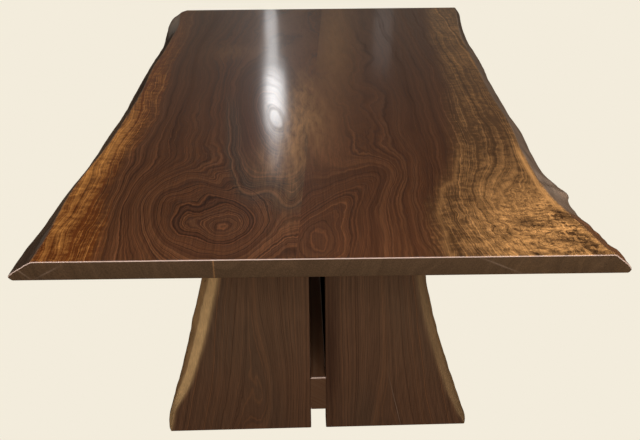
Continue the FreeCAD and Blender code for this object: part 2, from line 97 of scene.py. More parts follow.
def angle(name, default, description):
    """An angle property, given in degrees."""
    return bpy.props.FloatProperty(
        name=name, description=description, default=math.radians(default), subtype="ANGLE"
    )


def screen_to_linear(level):
    """The light that a screen level from 0 to 255 stands for."""
    part = level / 255
    if part <= 0.04045:
        return part / 12.92
    return ((part + 0.055) / 1.055) ** 2.4


def colour(name, default, description):
    """A colour property, given as screen levels of red, green and blue."""
    return bpy.props.FloatVectorProperty(
        name=name,
        description=description,
        default=[screen_to_linear(level) for level in default],
        size=3,
        subtype="COLOR",
        min=0,
        max=1,
    )


class TableShape(bpy.types.PropertyGroup):
    """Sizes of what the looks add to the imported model."""

    board_step: length("Board step", 5 * MM, "Spacing of the sections along a top board")
    plank_step: length("Plank step", 5 * MM, "Spacing of the sections up a plank")
    rim_arris: length("Rim arris", 3 * MM, "How far sanding eases the rim of a live edge")
    end_arris: length("End arris", 2 * MM, "Rounding of the sawn ends of the top")
    foot_arris: length("Foot arris", 1.2 * MM, "Rounding of the planks' sawn ends")
    gap_arris: length("Gap arris", 3 * MM, "Rounding of the planks' inner edges")
    ripple: length("Ripple", 1.1 * MM, "Depth of the long ripples on a live edge")
    plank_ripple: amount("Plank ripple", 2.6, "How many times stronger the planks' ripples are")
    lump: length("Lump", 3.5 * MM, "Depth of the lumps along the right live edge")
    nub: length("Nub", 6 * MM, "How far the nub on the right live edge stands out")
    batten_arris: length("Batten arris", 1.5 * MM, "Easing of the battens and the stretcher")
    fit_gap: length("Fit gap", 0.1 * MM, "Room round a pin, a spline or a bolt")
    blind_room: length("Blind room", 4 * MM, "Room in the top over a threaded insert")
    glue_room: length("Glue room", 2 * MM, "Room past each end of a dowel")
    tenon_width: length("Tenon width", 150 * MM, "Stub tenon of a plank, across the table")
    tenon_thickness: length("Tenon thickness", 20 * MM, "Stub tenon of a plank, along the table")
    tenon_height: length("Tenon height", 30 * MM, "How far a stub tenon stands up")
    pin_chamfer: length("Pin chamfer", 0.6 * MM, "Chamfer on the ends of pegs, dowels and bolts")
    flute: length("Flute", 0.4 * MM, "Depth of the flutes along a dowel")
    bolt_width: length("Bolt width", 8 * MM, "Thickness of a bolt's shank")
    thread_pitch: length("Thread pitch", 1.25 * MM, "Step of the bolts' thread")
    thread_depth: length("Thread depth", 0.6 * MM, "Depth of the bolts' thread")
    thread_length: length("Thread length", 18 * MM, "Length of the thread at a bolt's tip")
    head_height: length("Head height", 5.3 * MM, "Height of a bolt's hexagon head")
    head_width: length("Head width", 13 * MM, "Hexagon head across its flats")
    insert_pitch: length("Insert pitch", 2.5 * MM, "Step of the inserts' outer thread")
    insert_ridge: length("Insert ridge", 0.7 * MM, "Depth of the inserts' outer thread")


class TableWood(bpy.types.PropertyGroup):
    """Colours of the woods and metals."""

    heart: colour("Heartwood", (87, 51, 29), "Main colour of the heartwood")
    heart_dark: colour("Dark rings", (40, 21, 15), "Dark lines of the heartwood")
    heart_light: colour("Light rings", (140, 92, 58), "Light lines of the heartwood")
    heart_grey: colour("Grey heartwood", (66, 54, 44), "Greyish loops in the heartwood")
    feather: colour("Golden feather", (152, 108, 66), "Golden figure along the seam")
    end_grain: colour("End grain", (76, 57, 40), "Sawn ends of the top")
    # Painted highlight: this pale colour stands in for the light reflected by the near sawn end's
    # upper arris and by the stretcher's upper end arris.
    arris: colour("Arris", (255, 222, 204), "Sanded arris of the near end, which catches the light")
    sap_left: colour("Left sapwood", (206, 138, 68), "Bright sapwood along the left live edge")
    sap_left_deep: colour("Left sapwood, deep", (108, 55, 19), "Its darker side")
    sap_right: colour("Right sapwood", (220, 158, 94), "Bright sapwood by the right near corner")
    sap_right_deep: colour("Right sapwood, deep", (98, 66, 38), "Its darker side")
    rim_left: colour("Left live edge", (66, 50, 38), "Surface under the bark on the left")
    rim_right: colour("Right live edge", (150, 124, 104), "Surface under the bark on the right")
    rim_red: colour("Reddish live edge", (140, 88, 54), "The same by the near corner")
    plank: colour("Plank", (96, 70, 51), "Main colour of the upright planks")
    plank_red: colour("Reddish plank", (94, 60, 42), "Lower part of the upright planks")
    plank_sap: colour("Plank sapwood", (214, 172, 118), "Sapwood of the upright planks")
    plank_rim: colour("Plank live edge", (160, 122, 80), "Surface under the bark of the planks")
    stretcher: colour("Stretcher", (106, 77, 56), "The stretcher between the pedestals")
    peg: colour("Pegs", (120, 84, 52), "Pegs, dowels and splines")
    zinc: colour("Zinc", (170, 172, 176), "Bolts and washers")
    brass: colour("Brass", (188, 150, 84), "Threaded inserts")
    lacquer: share("Lacquer", 0.7, "Strength of the satin lacquer")
    lacquer_blur: share("Lacquer blur", 0.12, "How far the lacquer blurs a reflection")


class TableStage(bpy.types.PropertyGroup):
    """Camera, floor and lights."""

    eye: bpy.props.FloatVectorProperty(
        name="Camera place",
        description="Where the camera stands",
        default=(-0.0322, -2.1492, 1.4642),
        size=3,
        subtype="TRANSLATION",
        unit="LENGTH",
    )
    pitch: angle("Pitch", 27.797, "How far the camera looks down")
    yaw: angle("Yaw", -1.422, "How far the camera looks to the left")
    roll: angle("Roll", 0.507, "How far the camera leans")
    lens: amount("Lens", 46.125, "Focal length, in millimetres on a sensor 36 wide")
    backdrop: colour("Backdrop", (243, 236, 220), "Floor and surroundings")
    floor: colour("Floor", (120, 100, 80), "Floor as it lights the table from below")
    room_low: amount("Room light, low", 0.18, "Brightness of the room near the horizon")
    room_high: amount("Room light, high", 0.005, "Brightness of the room overhead")
    key_light: amount("Key light", 38, "Power of the long light over the camera")
    front_light: amount("Front light", 115, "Power of the soft light behind the camera")
    back_light: amount("Back light", 70, "Power of the soft light at the far end")
    lamp_light: amount("Lamp light", 0.92, "Power of the tall lamp that the top mirrors")
    glow_light: amount("Glow light", 0.95, "Power of the bright spot of that lamp")
    window_light: amount("Window light", 0.045, "Power of a faint light beside it")


# Shader maths


class Shade:
    """A socket of a material's nodes. Python's operators on it add Math nodes."""

    def __init__(self, tree, socket=None):
        self.tree = tree
        self.socket = socket

    def node(self, kind, settings=None, inputs=None, output=0):
        """Adds a node, sets it up, and returns one of its outputs.

        The settings are attributes of the node. The inputs go by name or number, and each is a
        value or another socket."""
        made = self.tree.nodes.new("ShaderNode" + kind)
        for name, setting in (settings or {}).items():
            setattr(made, name, setting)
        for name, given in (inputs or {}).items():
            if isinstance(given, Shade):
                self.tree.links.new(given.socket, made.inputs[name])
            else:
                made.inputs[name].default_value = given
        return Shade(self.tree, made.outputs[output] if made.outputs else None)

    def math(self, operation, *others):
        """A Math node's result for this value and the others."""
        return self.node("Math", {"operation": operation}, dict(enumerate((self,) + others)))

    def __add__(self, other):
        return self.math("ADD", other)

    __radd__ = __add__

    def __mul__(self, other):
        return self.math("MULTIPLY", other)

    __rmul__ = __mul__

    def __sub__(self, other):
        return self.math("SUBTRACT", other)

    def __rsub__(self, other):
        return self.node("Math", {"operation": "SUBTRACT"}, {0: other, 1: self})

    def __neg__(self):
        return self * -1

    def at_least(self, other):
        """The larger one of this value and another."""
        return self.math("MAXIMUM", other)

    def at_most(self, other):
        """The smaller one of this value and another."""
        return self.math("MINIMUM", other)

    def ramped(self, start, end):
        """A smooth step from 0 at the start to 1 at the end."""
        settings = {"interpolation_type": "SMOOTHSTEP"}
        return self.node("MapRange", settings, {"Value": self, "From Min": start, "From Max": end})

    def stretched(self, scales):
        """The vector with each part times its own number."""
        return self.node("VectorMath", {"operation": "MULTIPLY"}, {0: self, 1: scales})

    def moved(self, offset):
        """The vector moved by another one."""
        return self.node("VectorMath", {"operation": "ADD"}, {0: self, 1: offset})

    def part(self, number):
        """One part of the vector."""
        return self.node("SeparateXYZ", None, {0: self}, number)

    def clouds(self, scale, detail=2.0, roughness=0.5):
        """Soft noise about 0, from about -1 to 1."""
        inputs = {"Vector": self, "Scale": scale, "Detail": detail, "Roughness": roughness}
        return self.node("TexNoise", None, inputs) * 4 - 2

    def bands(self, scale, detail=4.0, roughness=0.6):
        """Uneven bands that follow this value, about 0 and from about -1 to 1."""
        inputs = {"W": self, "Scale": scale, "Detail": detail, "Roughness": roughness}
        return self.node("TexNoise", {"noise_dimensions": "1D"}, inputs) * 4 - 2

    def hill(self, middle, reach, turn=(0, 0, 0), mesa=False, square=False):
        """A smooth hill over a place, 1 at its top. A reach of 0 leaves an axis out.

        A mesa has a flatter top and steeper sides, and a square hill's level lines are squarish."""
        sizes = [size or ENDLESS for size in reach]
        local = self.node(
            "Mapping",
            {"vector_type": "TEXTURE"},
            {"Vector": self, "Location": middle, "Rotation": turn, "Scale": sizes},
        )
        if square:
            local = local.stretched(local)
        squared = local.node("VectorMath", {"operation": "DOT_PRODUCT"}, {0: local, 1: local}, 1)
        if mesa:
            squared = squared * squared
        return (-squared).math("EXPONENT")

    def patch(self, spot, reach, turn=0.0, mesa=False, square=False):
        """A hill on the top, from its middle, its reach across and along, and its turn."""
        return self.hill((*spot, 0), (*reach, 0), (0, 0, turn), mesa, square)

    def warped(self, scale, amount):
        """The vector pushed about by soft noise of a scale, by up to about an amount."""
        inputs = {"Vector": self, "Scale": scale, "Detail": 2.0}
        push = self.node("TexNoise", None, inputs, 1)
        scales = [4 * amount] * 3
        offset = [-2 * amount] * 3
        made = self.node("VectorMath", {"operation": "MULTIPLY_ADD"}, {0: push, 1: scales, 2: offset})
        return self.moved(made)

    def thin_lines(self, scale, width):
        """Thin lines at uneven steps of this value: 1 on a line and 0 between the lines."""
        return self.bands(scale, 1.5, 0.5).math("ABSOLUTE").ramped(width, 0.0)

    def mixed(self, other, factor, blend="MIX"):
        """This colour turned by a factor towards another one, which is a socket or a setting."""
        other = other if isinstance(other, Shade) else rgba(other)
        settings = {"data_type": "RGBA", "blend_type": blend}
        return self.node("Mix", settings, {0: factor, 6: self, 7: other}, 2)

    def tinted(self, brightness):
        """This colour times a grey value."""
        grey = self.node("CombineColor", None, {0: brightness, 1: brightness, 2: brightness})
        return self.mixed(grey, 1.0, "MULTIPLY")

    def flat(self, setting):
        """A colour that is the same everywhere, from a setting."""
        made = self.node("RGB")
        made.socket.default_value = rgba(setting)
        return made

    def painted(self, name):
        """A value that the mesh keeps at its points."""
        return self.node("Attribute", {"attribute_name": name}, None, 2)

    def relief(self, height, depth, strength=1.0):
        """A normal that stands for a relief, its depth in metres."""
        return self.node("Bump", None, {"Strength": strength, "Distance": depth, "Height": height})


def rgba(setting):
    """A colour setting as red, green, blue and alpha."""
    return (*setting, 1.0)


def new_material(name):
    """An empty material, and the place of each of its points."""
    material = bpy.data.materials.new(name)
    material.use_nodes = True
    material.node_tree.nodes.clear()
    return material, Shade(material.node_tree).node("TexCoord", None, None, "Object")


def finish_material(material, place, inputs):
    """Ends a material in a Principled shader with the given values and links."""
    shader = place.node("BsdfPrincipled", None, inputs)
    shader.node("OutputMaterial", None, {"Surface": shader})
    return material


# Walnut


# The growth lines of each board run along a ridge, which is the pith: its place across, how fast the
# growth value falls off on both sides, and its slope across. They swell round knots and crotches:
# the middle of a swelling on the top, its reach across and along, its turn, its push, and whether
# its top is flat. The crispness says how much the lines gain towards the near end.
LEFT_CRISPNESS = 1.15
LEFT_RIDGE = (-0.10, 1.25, 0.10)
LEFT_SWELLINGS = (
    ((-0.235, -0.735), (0.125, 0.200), 0.30, 0.095, True),
    ((-0.285, -0.735), (0.045, 0.115), 0.25, 0.030, True),
    ((-0.175, -0.785), (0.075, 0.065), 0.10, 0.032, False),
    ((-0.215, -0.590), (0.022, 0.080), 0.60, -0.036, False),
    ((-0.100, -0.190), (0.085, 0.400), 0.14, 0.115, False),
    ((-0.300, 0.350), (0.060, 0.250), 0.00, 0.025, False),
    ((-0.070, -0.930), (0.080, 0.120), 0.00, -0.030, False),
)
RIGHT_CRISPNESS = 0.60
RIGHT_RIDGE = (0.05, 0.90, -0.25)
RIGHT_SWELLINGS = (
    ((0.005, -0.870), (0.100, 0.170), -0.25, 0.110, False),
    ((0.085, -0.640), (0.055, 0.170), -0.55, 0.070, False),
    ((0.190, -0.140), (0.070, 0.220), -0.20, 0.015, False),
    ((0.230, 0.400), (0.070, 0.260), 0.00, 0.022, False),
    ((0.360, -0.740), (0.100, 0.200), 0.00, -0.075, False),
)
GROWTH_BY_DEPTH = 0.45
BEND_SQUEEZE = 0.55

# Figures on the top: the middle, the reach across and along, the turn, and in some the strength.
LOOP = ((-0.115, -0.240), (0.095, 0.430), 0.08)
LOOP_BULGES = (
    ((-0.104, -0.640), (0.026, 0.060), 0.0, -0.10),
    ((-0.050, -0.690), (0.024, 0.060), 0.0, 0.16),
)
SWIRL = ((-0.225, -0.745), (0.17, 0.19))
LEFT_FEATHERS = (
    ((-0.034, -0.25), (0.042, 0.34), -0.06, 1.25),
    ((-0.115, -0.50), (0.028, 0.10), 0.0, 0.45),
    ((-0.235, 0.36), (0.070, 0.075), 0.0, 0.30),
)
RIGHT_FEATHER = ((-0.020, -0.22), (0.050, 0.20))
FEATHER_GRAIN = (80, 11, 80)
FAR_STRIP = ((0.085, 0.52), (0.062, 0.62), -0.06)
BURL_GROWTH = ((0.43, -0.80), (0.12, 0.12))
BURL = ((0.44, -0.84), (0.13, 0.11))
BURL_CREASE = ((0.470, -0.775), (0.015, 0.040), 0.45)
BURL_CORNER = ((0.500, -0.915), (0.035, 0.022), -0.3)
LEFT_STREAK = ((-0.480, -0.810), (0.012, 0.070), 0.35)
LEFT_GLOW = ((0, -0.42), (0, 0.28))

# Dark knots and specks in the burl, with their strength.
BURL_SPOTS = (
    ((0.275, -0.790), (0.007, 0.010), 0.0, 0.7),
    ((0.342, -0.848), (0.008, 0.008), 0.4, 0.6),
    ((0.388, -0.795), (0.020, 0.016), 0.5, 0.7),
    ((0.478, -0.766), (0.030, 0.006), -0.5, 0.7),
    ((0.440, -0.868), (0.050, 0.009), -0.2, 0.6),
)

# Width of the sapwood on the top: at the far end, and how much it gains between two places along.
LEFT_SAP_WIDTH = (0.038, ((0.55, -0.20, 0.022), (-0.50, -0.95, 0.050)))
RIGHT_SAP_WIDTH = (0.086, ((0.20, -0.50, 0.055), (-0.40, -0.98, 0.160)))

# Stretches along the top: the place along the table where something sets in, and where it is full.
NEAR_PART = (-0.10, -0.70)
END_GLOW = (-0.70, -0.90)
LIGHT_LINES = (0.10, -0.50)
LOOP_CLOSING = (0.05, -0.25)
LEFT_SAP_FULL = (0.80, 0.10)
LEFT_RIM_PALE = (0.55, 0.85)
RIGHT_RIM_RED = (-0.72, -0.78)
RIGHT_SAP_GLOW = (-0.32, -0.90)
RIGHT_EDGE_GLOW = (0.05, -0.45)
FAR_SAP_GLOW = (-0.20, 0.30)
GOLD_LINE = ((-0.38, -0.52), (-0.80, -0.72))
SAP_BORDER = (-0.30, -0.60)

# Marks on the sawn near end: a pale crack, as its place across and its reach, and light growth lines,
# as their middle across and up, half length and lean.
END_CRACK = ((-0.189, 0), (1.1 * MM, 0))
END_LINES = (
    ((0.315, 0.719), 0.036, 0.42),
    ((-0.527, 0.716), 0.020, 0.75),
    ((-0.480, 0.716), 0.020, -0.50),
)
END_LINE_REACH = 1.5 * MM


def clamped(value):
    """The value kept from 0 to 1."""
    return value.at_least(0).at_most(1)


def line_at(value, level, sharpness):
    """A soft line where a value passes a level: 1 on the line and 0 away from it."""
    off = (value - level) * sharpness
    return (-(off * off)).math("EXPONENT")


def nearness(place):
    """From 0 in the middle of the table to 1 towards its near end."""
    return place.part(1).ramped(*NEAR_PART)


def heaped(place, hills):
    """The sum of hills on the top, each times its strength."""
    total = 0
    for spot, reach, turn, strength in hills:
        total = place.patch(spot, reach, turn) * strength + total
    return total


def widened(along, width, gains):
    """A width that gains along the table."""
    for start, end, gain in gains:
        width = along.ramped(start, end) * gain + width
    return width


def growth_value(place, ridge, swellings):
    """A value whose level lines are the growth lines of a board."""
    middle, fall, lean = ridge
    depth = (place.part(2) - TOP_HEIGHT) * GROWTH_BY_DEPTH
    squeezed = place.stretched((1, BEND_SQUEEZE, 1)).warped(8, 0.006)
    place = squeezed.stretched((1, 1 / BEND_SQUEEZE, 1))
    across = place.part(0)
    from_pith = across - middle
    growth = across * lean - from_pith * from_pith * fall + depth
    for spot, reach, turn, push, mesa in swellings:
        growth = growth + place.patch(spot, reach, turn, mesa=mesa) * push
    slow = place.stretched((7, 3, 7)).clouds(1.0, 2.0)
    quick = place.stretched((22, 9, 22)).clouds(1.0, 4.0, 0.6)
    return growth + slow * 0.011 + quick * 0.0045


def fibre_figure(place, stretch):
    """Fine fibres and pores along the grain, about 0."""
    drawn_out = place.stretched(stretch)
    fibres = drawn_out.clouds(1.0, 3.0, 0.6)
    pores = drawn_out.stretched((2.5, 1.6, 2.5)).clouds(1.0, 1.0).ramped(0.75, 1.3)
    return fibres, pores


def heart_colour(place, wood, growth, crispness):
    """Heartwood: uneven browns with dark and light growth lines, crisper towards the near end.

    Returns the colour, the relief of the lines, and where they dull the lacquer."""
    patches = place.stretched((3.0, 1.1, 3.0)).clouds(1.0, 2.0)
    rings = growth.bands(70, 5.0, 0.65)
    broad = growth.bands(17, 2.0, 0.5)
    fine = growth.bands(240, 2.0, 0.7)
    dark_lines = growth.thin_lines(60, 0.12)
    light_lines = (growth + 0.37).thin_lines(40, 0.08)
    strength = clamped(place.stretched((9, 4, 9)).clouds(1.0, 2.0) * 0.6 + 0.5)
    strength = strength * (crispness * 0.6 + 0.31)
    near = nearness(place) * crispness
    crisp_rings = rings * (near * 0.75 + (crispness * 0.3 + 0.65))
    darker = clamped(crisp_rings * 0.22 + patches * 0.14 + broad * 0.09 + 0.10)
    lighter = clamped(crisp_rings * -0.24 - broad * 0.11 - 0.01)
    tone = place.flat(wood.heart).mixed(wood.heart_dark, darker).mixed(wood.heart_light, lighter)
    end_glow = place.part(1).ramped(*END_GLOW) * 0.22
    tone = tone.tinted(1.0 + end_glow + fine * (near * 0.55 + 0.12))
    light_lines = light_lines * (place.part(1).ramped(*LIGHT_LINES) * 0.7 + 0.3)
    tone = tone.mixed(wood.heart_light, light_lines * strength * 0.50)
    tone = tone.mixed(wood.heart_dark, dark_lines * strength * 0.75)
    return tone, rings * 0.5 - dark_lines * 0.5, dark_lines * strength


def sawn_end(place, wood, growth):
    """The sawn ends of the top: faint growth lines, and the marks on the near end."""
    tone = place.flat(wood.end_grain).mixed(wood.feather, place.patch(*END_CRACK) * 0.6)
    tone = tone.tinted(1.06 + growth.bands(60, 4.0) * 0.22)
    for (across, up), reach, lean in END_LINES:
        line = place.hill((across, 0, up), (reach, 0, END_LINE_REACH), (0, lean, 0))
        tone = tone.mixed(wood.rim_right, line * 0.35)
    return tone


def board_walnut(name, wood, crispness, growth_of, zones_of, sap_of, rim_of):
    """The walnut of a top board, with its sapwood and live edge."""
    material, place = new_material(name)
    growth = growth_of(place)
    fibres, pores = fibre_figure(place, (420, 14, 420))
    tone, rings, dull = heart_colour(place, wood, growth, crispness)
    tone = zones_of(place, wood, tone, growth)
    live = place.painted("live")
    sap_tone, sapwood = sap_of(place, wood, growth, place.painted("inward"))
    tone = tone.mixed(sap_tone, sapwood)
    end_grain = place.node("TexCoord", None, None, "Normal").part(1).math("ABSOLUTE")
    sawn = end_grain.ramped(0.75, 0.98)
    tone = tone.mixed(sawn_end(place, wood, growth), sawn * 0.97)
    weathered = place.stretched((60, 9, 60)).clouds(1.0, 4.0, 0.65)
    rim_tone = rim_of(place, wood).tinted(1.0 + weathered * 0.34)
    tone = tone.mixed(rim_tone, live * (1 - sawn) * 0.94)
    tone = tone.tinted(1.0 + fibres * (nearness(place) * 0.18 + 0.12) - pores * 0.40)
    # Painted highlight on the near end's upper arris, laid where the mesh's arris mark is.
    tone = tone.mixed(wood.arris, place.painted("arris") * 0.95)
    height = rings * 0.6 + fibres * 0.25 - pores + live * weathered * 3
    inputs = {
        "Base Color": tone,
        "Roughness": 0.42 + live * 0.12 + pores * 0.2,
        "Specular IOR Level": 0.15,
        "Normal": place.relief(height, 0.10 * MM, 0.35),
        "Coat Weight": wood.lacquer - dull * 0.34 - pores * 0.45 + rings * 0.18,
        "Coat Roughness": wood.lacquer_blur,
    }
    return finish_material(material, place, inputs)


def sapwood_tone(place, deep, bright, glow, growth, contrast=1.0):
    """Sapwood: a deep tone that turns bright, with curls across the grain and fine stripes."""
    curl = place.warped(30, 0.008).stretched((55, 72, 55)).clouds(1.0, 3.0, 0.6)
    stripes = growth.bands(95, 4.0, 0.65)
    fine = growth.bands(420, 2.0, 0.6)
    flow = clamped(glow + (curl * 0.32 - stripes * 0.34 - fine * 0.26) * contrast)
    dark_lines = growth.thin_lines(80, 0.09)
    tone = place.flat(deep).mixed(bright, flow)
    return tone.tinted(1.0 + curl * 0.16 - fine * 0.20 - dark_lines * 0.30)


def ragged_border(place):
    """Unevenness of the border between sapwood and heartwood, about 0."""
    return place.stretched((26, 5, 26)).clouds(1.0, 4.0, 0.6)


def left_sap(place, wood, growth, inward):
    """Sapwood of the left board, which widens towards the near end."""
    along = place.part(1)
    ragged = ragged_border(place)
    width = widened(along, *LEFT_SAP_WIDTH)
    edge = width + ragged * 0.010 + growth.bands(60, 2.0) * 0.012 - inward
    bright = place.patch(*LEFT_GLOW) * 0.55 + place.patch(*LEFT_STREAK) * 0.30 + 0.08
    glow = inward.ramped(0.080, 0.004) * bright + 0.04
    tone = sapwood_tone(place, wood.sap_left_deep, wood.sap_left, glow, growth)
    return tone, edge.ramped(-0.024, 0.024) * (along.ramped(*LEFT_SAP_FULL) * 0.50 + 0.45)


def right_sap(place, wood, growth, inward):
    """Sapwood of the right board, widest and brightest round the near corner, with a burl."""
    along = place.part(1)
    ragged = ragged_border(place)
    edge = widened(along, *RIGHT_SAP_WIDTH) + ragged * 0.012 - inward
    burl = place.patch(*BURL)
    flames = place.warped(12, 0.012).stretched((16, 62, 16)).clouds(1.0, 3.0, 0.6)
    mottle = place.warped(20, 0.004).stretched((13, 7, 13)).clouds(1.0, 3.0, 0.6)
    flecks = place.warped(60, 0.004).stretched((50, 110, 50)).clouds(1.0, 3.0, 0.7)
    glow = edge.ramped(0.0, 0.14) * along.ramped(*RIGHT_SAP_GLOW) * 0.66
    glow = glow + inward.ramped(0.030, 0.0) * along.ramped(*RIGHT_EDGE_GLOW) * 0.24
    glow = glow + mottle * 0.12 + burl * flames * 0.52 - burl * 0.05 + 0.03
    glow = glow + along.ramped(*FAR_SAP_GLOW) * 0.13
    glow = glow - place.patch(*BURL_CREASE) * 0.5 - place.patch(*BURL_CORNER) * 0.4
    tone = sapwood_tone(place, wood.sap_right_deep, wood.sap_right, glow, growth, burl * 1.15 + 0.62)
    tone = tone.tinted(1.0 + burl * flames * 0.34 + burl * flecks * 0.75)
    golden = line_at(inward, 0.009, 200)
    for start, full in GOLD_LINE:
        golden = golden * along.ramped(start, full)
    gold = place.flat(wood.sap_right).tinted(1.3)
    tone = tone.mixed(gold, clamped(golden * (mottle * 0.3 + 0.75)))
    border = line_at(edge, 0.004, 140) * along.ramped(*SAP_BORDER)
    tone = tone.mixed(wood.sap_right, border * 0.26)
    wavy = place.warped(40, 0.002)
    for spot, reach, turn, strength in BURL_SPOTS:
        tone = tone.mixed(wood.heart_dark, wavy.patch(spot, reach, turn) * strength)
    return tone, edge.ramped(-0.040, 0.020) * 0.95


def left_rim(place, wood):
    """Tone of the left live edge: dark, but paler at the far corner."""
    pale = place.part(1).ramped(*LEFT_RIM_PALE)
    return place.flat(wood.rim_left).mixed(wood.rim_right, pale * 0.75)


def right_rim(place, wood):
    """Tone of the right live edge: pale and weathered, but reddish by the near corner."""
    return place.flat(wood.rim_right).mixed(wood.rim_red, place.part(1).ramped(*RIGHT_RIM_RED))


def left_growth(place):
    """Growth lines of the left board: a swirl by the near end, and a long loop beside the seam."""
    return growth_value(place, LEFT_RIDGE, LEFT_SWELLINGS)


def feathered(tone, wood, wavy, feather):
    """A tone with golden streaks where a feather is."""
    streaks = wavy.stretched(FEATHER_GRAIN).clouds(1.0, 3.0, 0.6)
    return tone.mixed(wood.feather, clamped(feather * (streaks * 0.6 + 0.65)))


def left_zones(place, wood, tone, growth):
    """Grey wood with its own lines round the long loop, and a golden feather along the seam."""
    wavy = place.warped(9, 0.007)
    loop = wavy.patch(*LOOP, square=True) + heaped(wavy, LOOP_BULGES)
    closing = place.part(1).ramped(*LOOP_CLOSING)
    lines = loop.bands(13, 4.0, 0.6)
    band = loop.ramped(0.16, 0.36) * loop.ramped(0.95, 0.60) * closing
    tone = tone.mixed(wood.heart_grey, clamped(band * (lines * 0.5 + 0.65)))
    tone = tone.mixed(wood.heart_dark, loop.thin_lines(15, 0.12) * band * 0.75)
    tone = tone.mixed(wood.heart_light, (loop + 0.31).thin_lines(12, 0.09) * band * 0.55)
    tone = tone.mixed(wood.heart_dark, line_at(loop, 0.46, 26) * closing * 0.55)
    tone = tone.mixed(wood.heart_light, line_at(loop, 0.38, 42) * closing * 0.45)
    swirl = place.patch(*SWIRL, mesa=True)
    tone = tone.mixed(wood.heart_light, (growth + 0.11).thin_lines(46, 0.07) * swirl * 0.40)
    tone = tone.mixed(wood.heart_dark, (growth + 0.17).thin_lines(52, 0.10) * swirl * 0.55)
    return feathered(tone, wood, wavy, heaped(place, LEFT_FEATHERS))


def right_growth(place):
    """Growth lines of the right board: an arched figure by the near end, and a burl at its corner."""
    growth = growth_value(place, RIGHT_RIDGE, RIGHT_SWELLINGS)
    curls = place.stretched((26, 22, 26)).clouds(1.0, 3.0, 0.6)
    return growth + place.patch(*BURL_GROWTH) * curls * 0.030


def right_zones(place, wood, tone, growth):
    """A lighter strip beside the seam at the far end, and this board's share of the feather."""
    wavy = place.warped(9, 0.007)
    streaks = wavy.stretched(FEATHER_GRAIN).clouds(1.0, 3.0, 0.6)
    tone = tone.mixed(wood.feather, clamped(place.patch(*FAR_STRIP) * (streaks * 0.10 + 0.42)))
    return feathered(tone, wood, wavy, place.patch(*RIGHT_FEATHER))


# Each upright plank: which way its face and its live edge look, the middle of the arch in its
# growth lines, and how much of the live edge is pale sapwood.
PLANKS = {
    "near_plank_left": (-ALONG, -ACROSS, (-0.120, 0.08), 0.85),
    "near_plank_right": (-ALONG, ACROSS, (0.135, -0.10), 0.30),
    "far_plank_left": (ALONG, -ACROSS, (-0.135, -0.10), 0.30),
    "far_plank_right": (ALONG, ACROSS, (0.120, 0.08), 0.85),
}
ARCH_REACH = (0.055, 0, 0.26)

# A painted shade on the planks' faces beside the gap between them: its middle and reach.
PLANK_GAP_SHADE = ((0.032, 0, 0.25), (0.020, 0, 0.36))

# Heights up a plank: where the sapwood beside its live edge starts to widen and is widest, and
# where its foot starts to be paler and is palest.
PLANK_SAP_WIDENS = (0.10, 0.62)
PLANK_FOOT_PALE = (0.42, 0.12)

# Thin light growth lines on a plank's face: middle across and up, half length, lean.
PLANK_LINES = {"walnut_near_plank_right": (((0.199, 0.062), 0.080, -0.22),)}
PLANK_LINE_REACH = 0.9 * MM


def plank_growth(place, middle):
    """Growth lines of a plank, which spread towards its foot and arch round a place on its face."""
    hand = math.copysign(1, middle[0])
    slow = place.stretched((6, 6, 2)).clouds(1.0, 2.0)
    quick = place.stretched((24, 24, 6)).clouds(1.0, 3.0, 0.6)
    arch = place.hill((middle[0], 0, middle[1]), ARCH_REACH)
    growth = place.part(0) * hand * (place.part(2) * 0.75 + 1.0) + place.part(1) * 0.4
    return growth + slow * 0.008 + quick * 0.0030 + arch * 0.080


def plank_heart(place, wood, growth, rings, patches):
    """Heartwood of the planks, redder towards the foot, with dark and light growth lines."""
    tone = place.flat(wood.plank)
    tone = tone.mixed(wood.plank_red, clamped(0.45 - place.part(2) * 1.1 + patches * 0.25))
    tone = tone.mixed(wood.heart_grey, clamped(patches * -0.35))
    tone = tone.mixed(wood.heart_dark, clamped(rings * 0.27))
    tone = tone.mixed(wood.heart_light, clamped(rings * -0.20))
    tone = tone.mixed(wood.heart_dark, growth.thin_lines(70, 0.10) * 0.40)
    return tone.mixed(wood.heart_light, (growth + 0.2).thin_lines(45, 0.06) * 0.22)


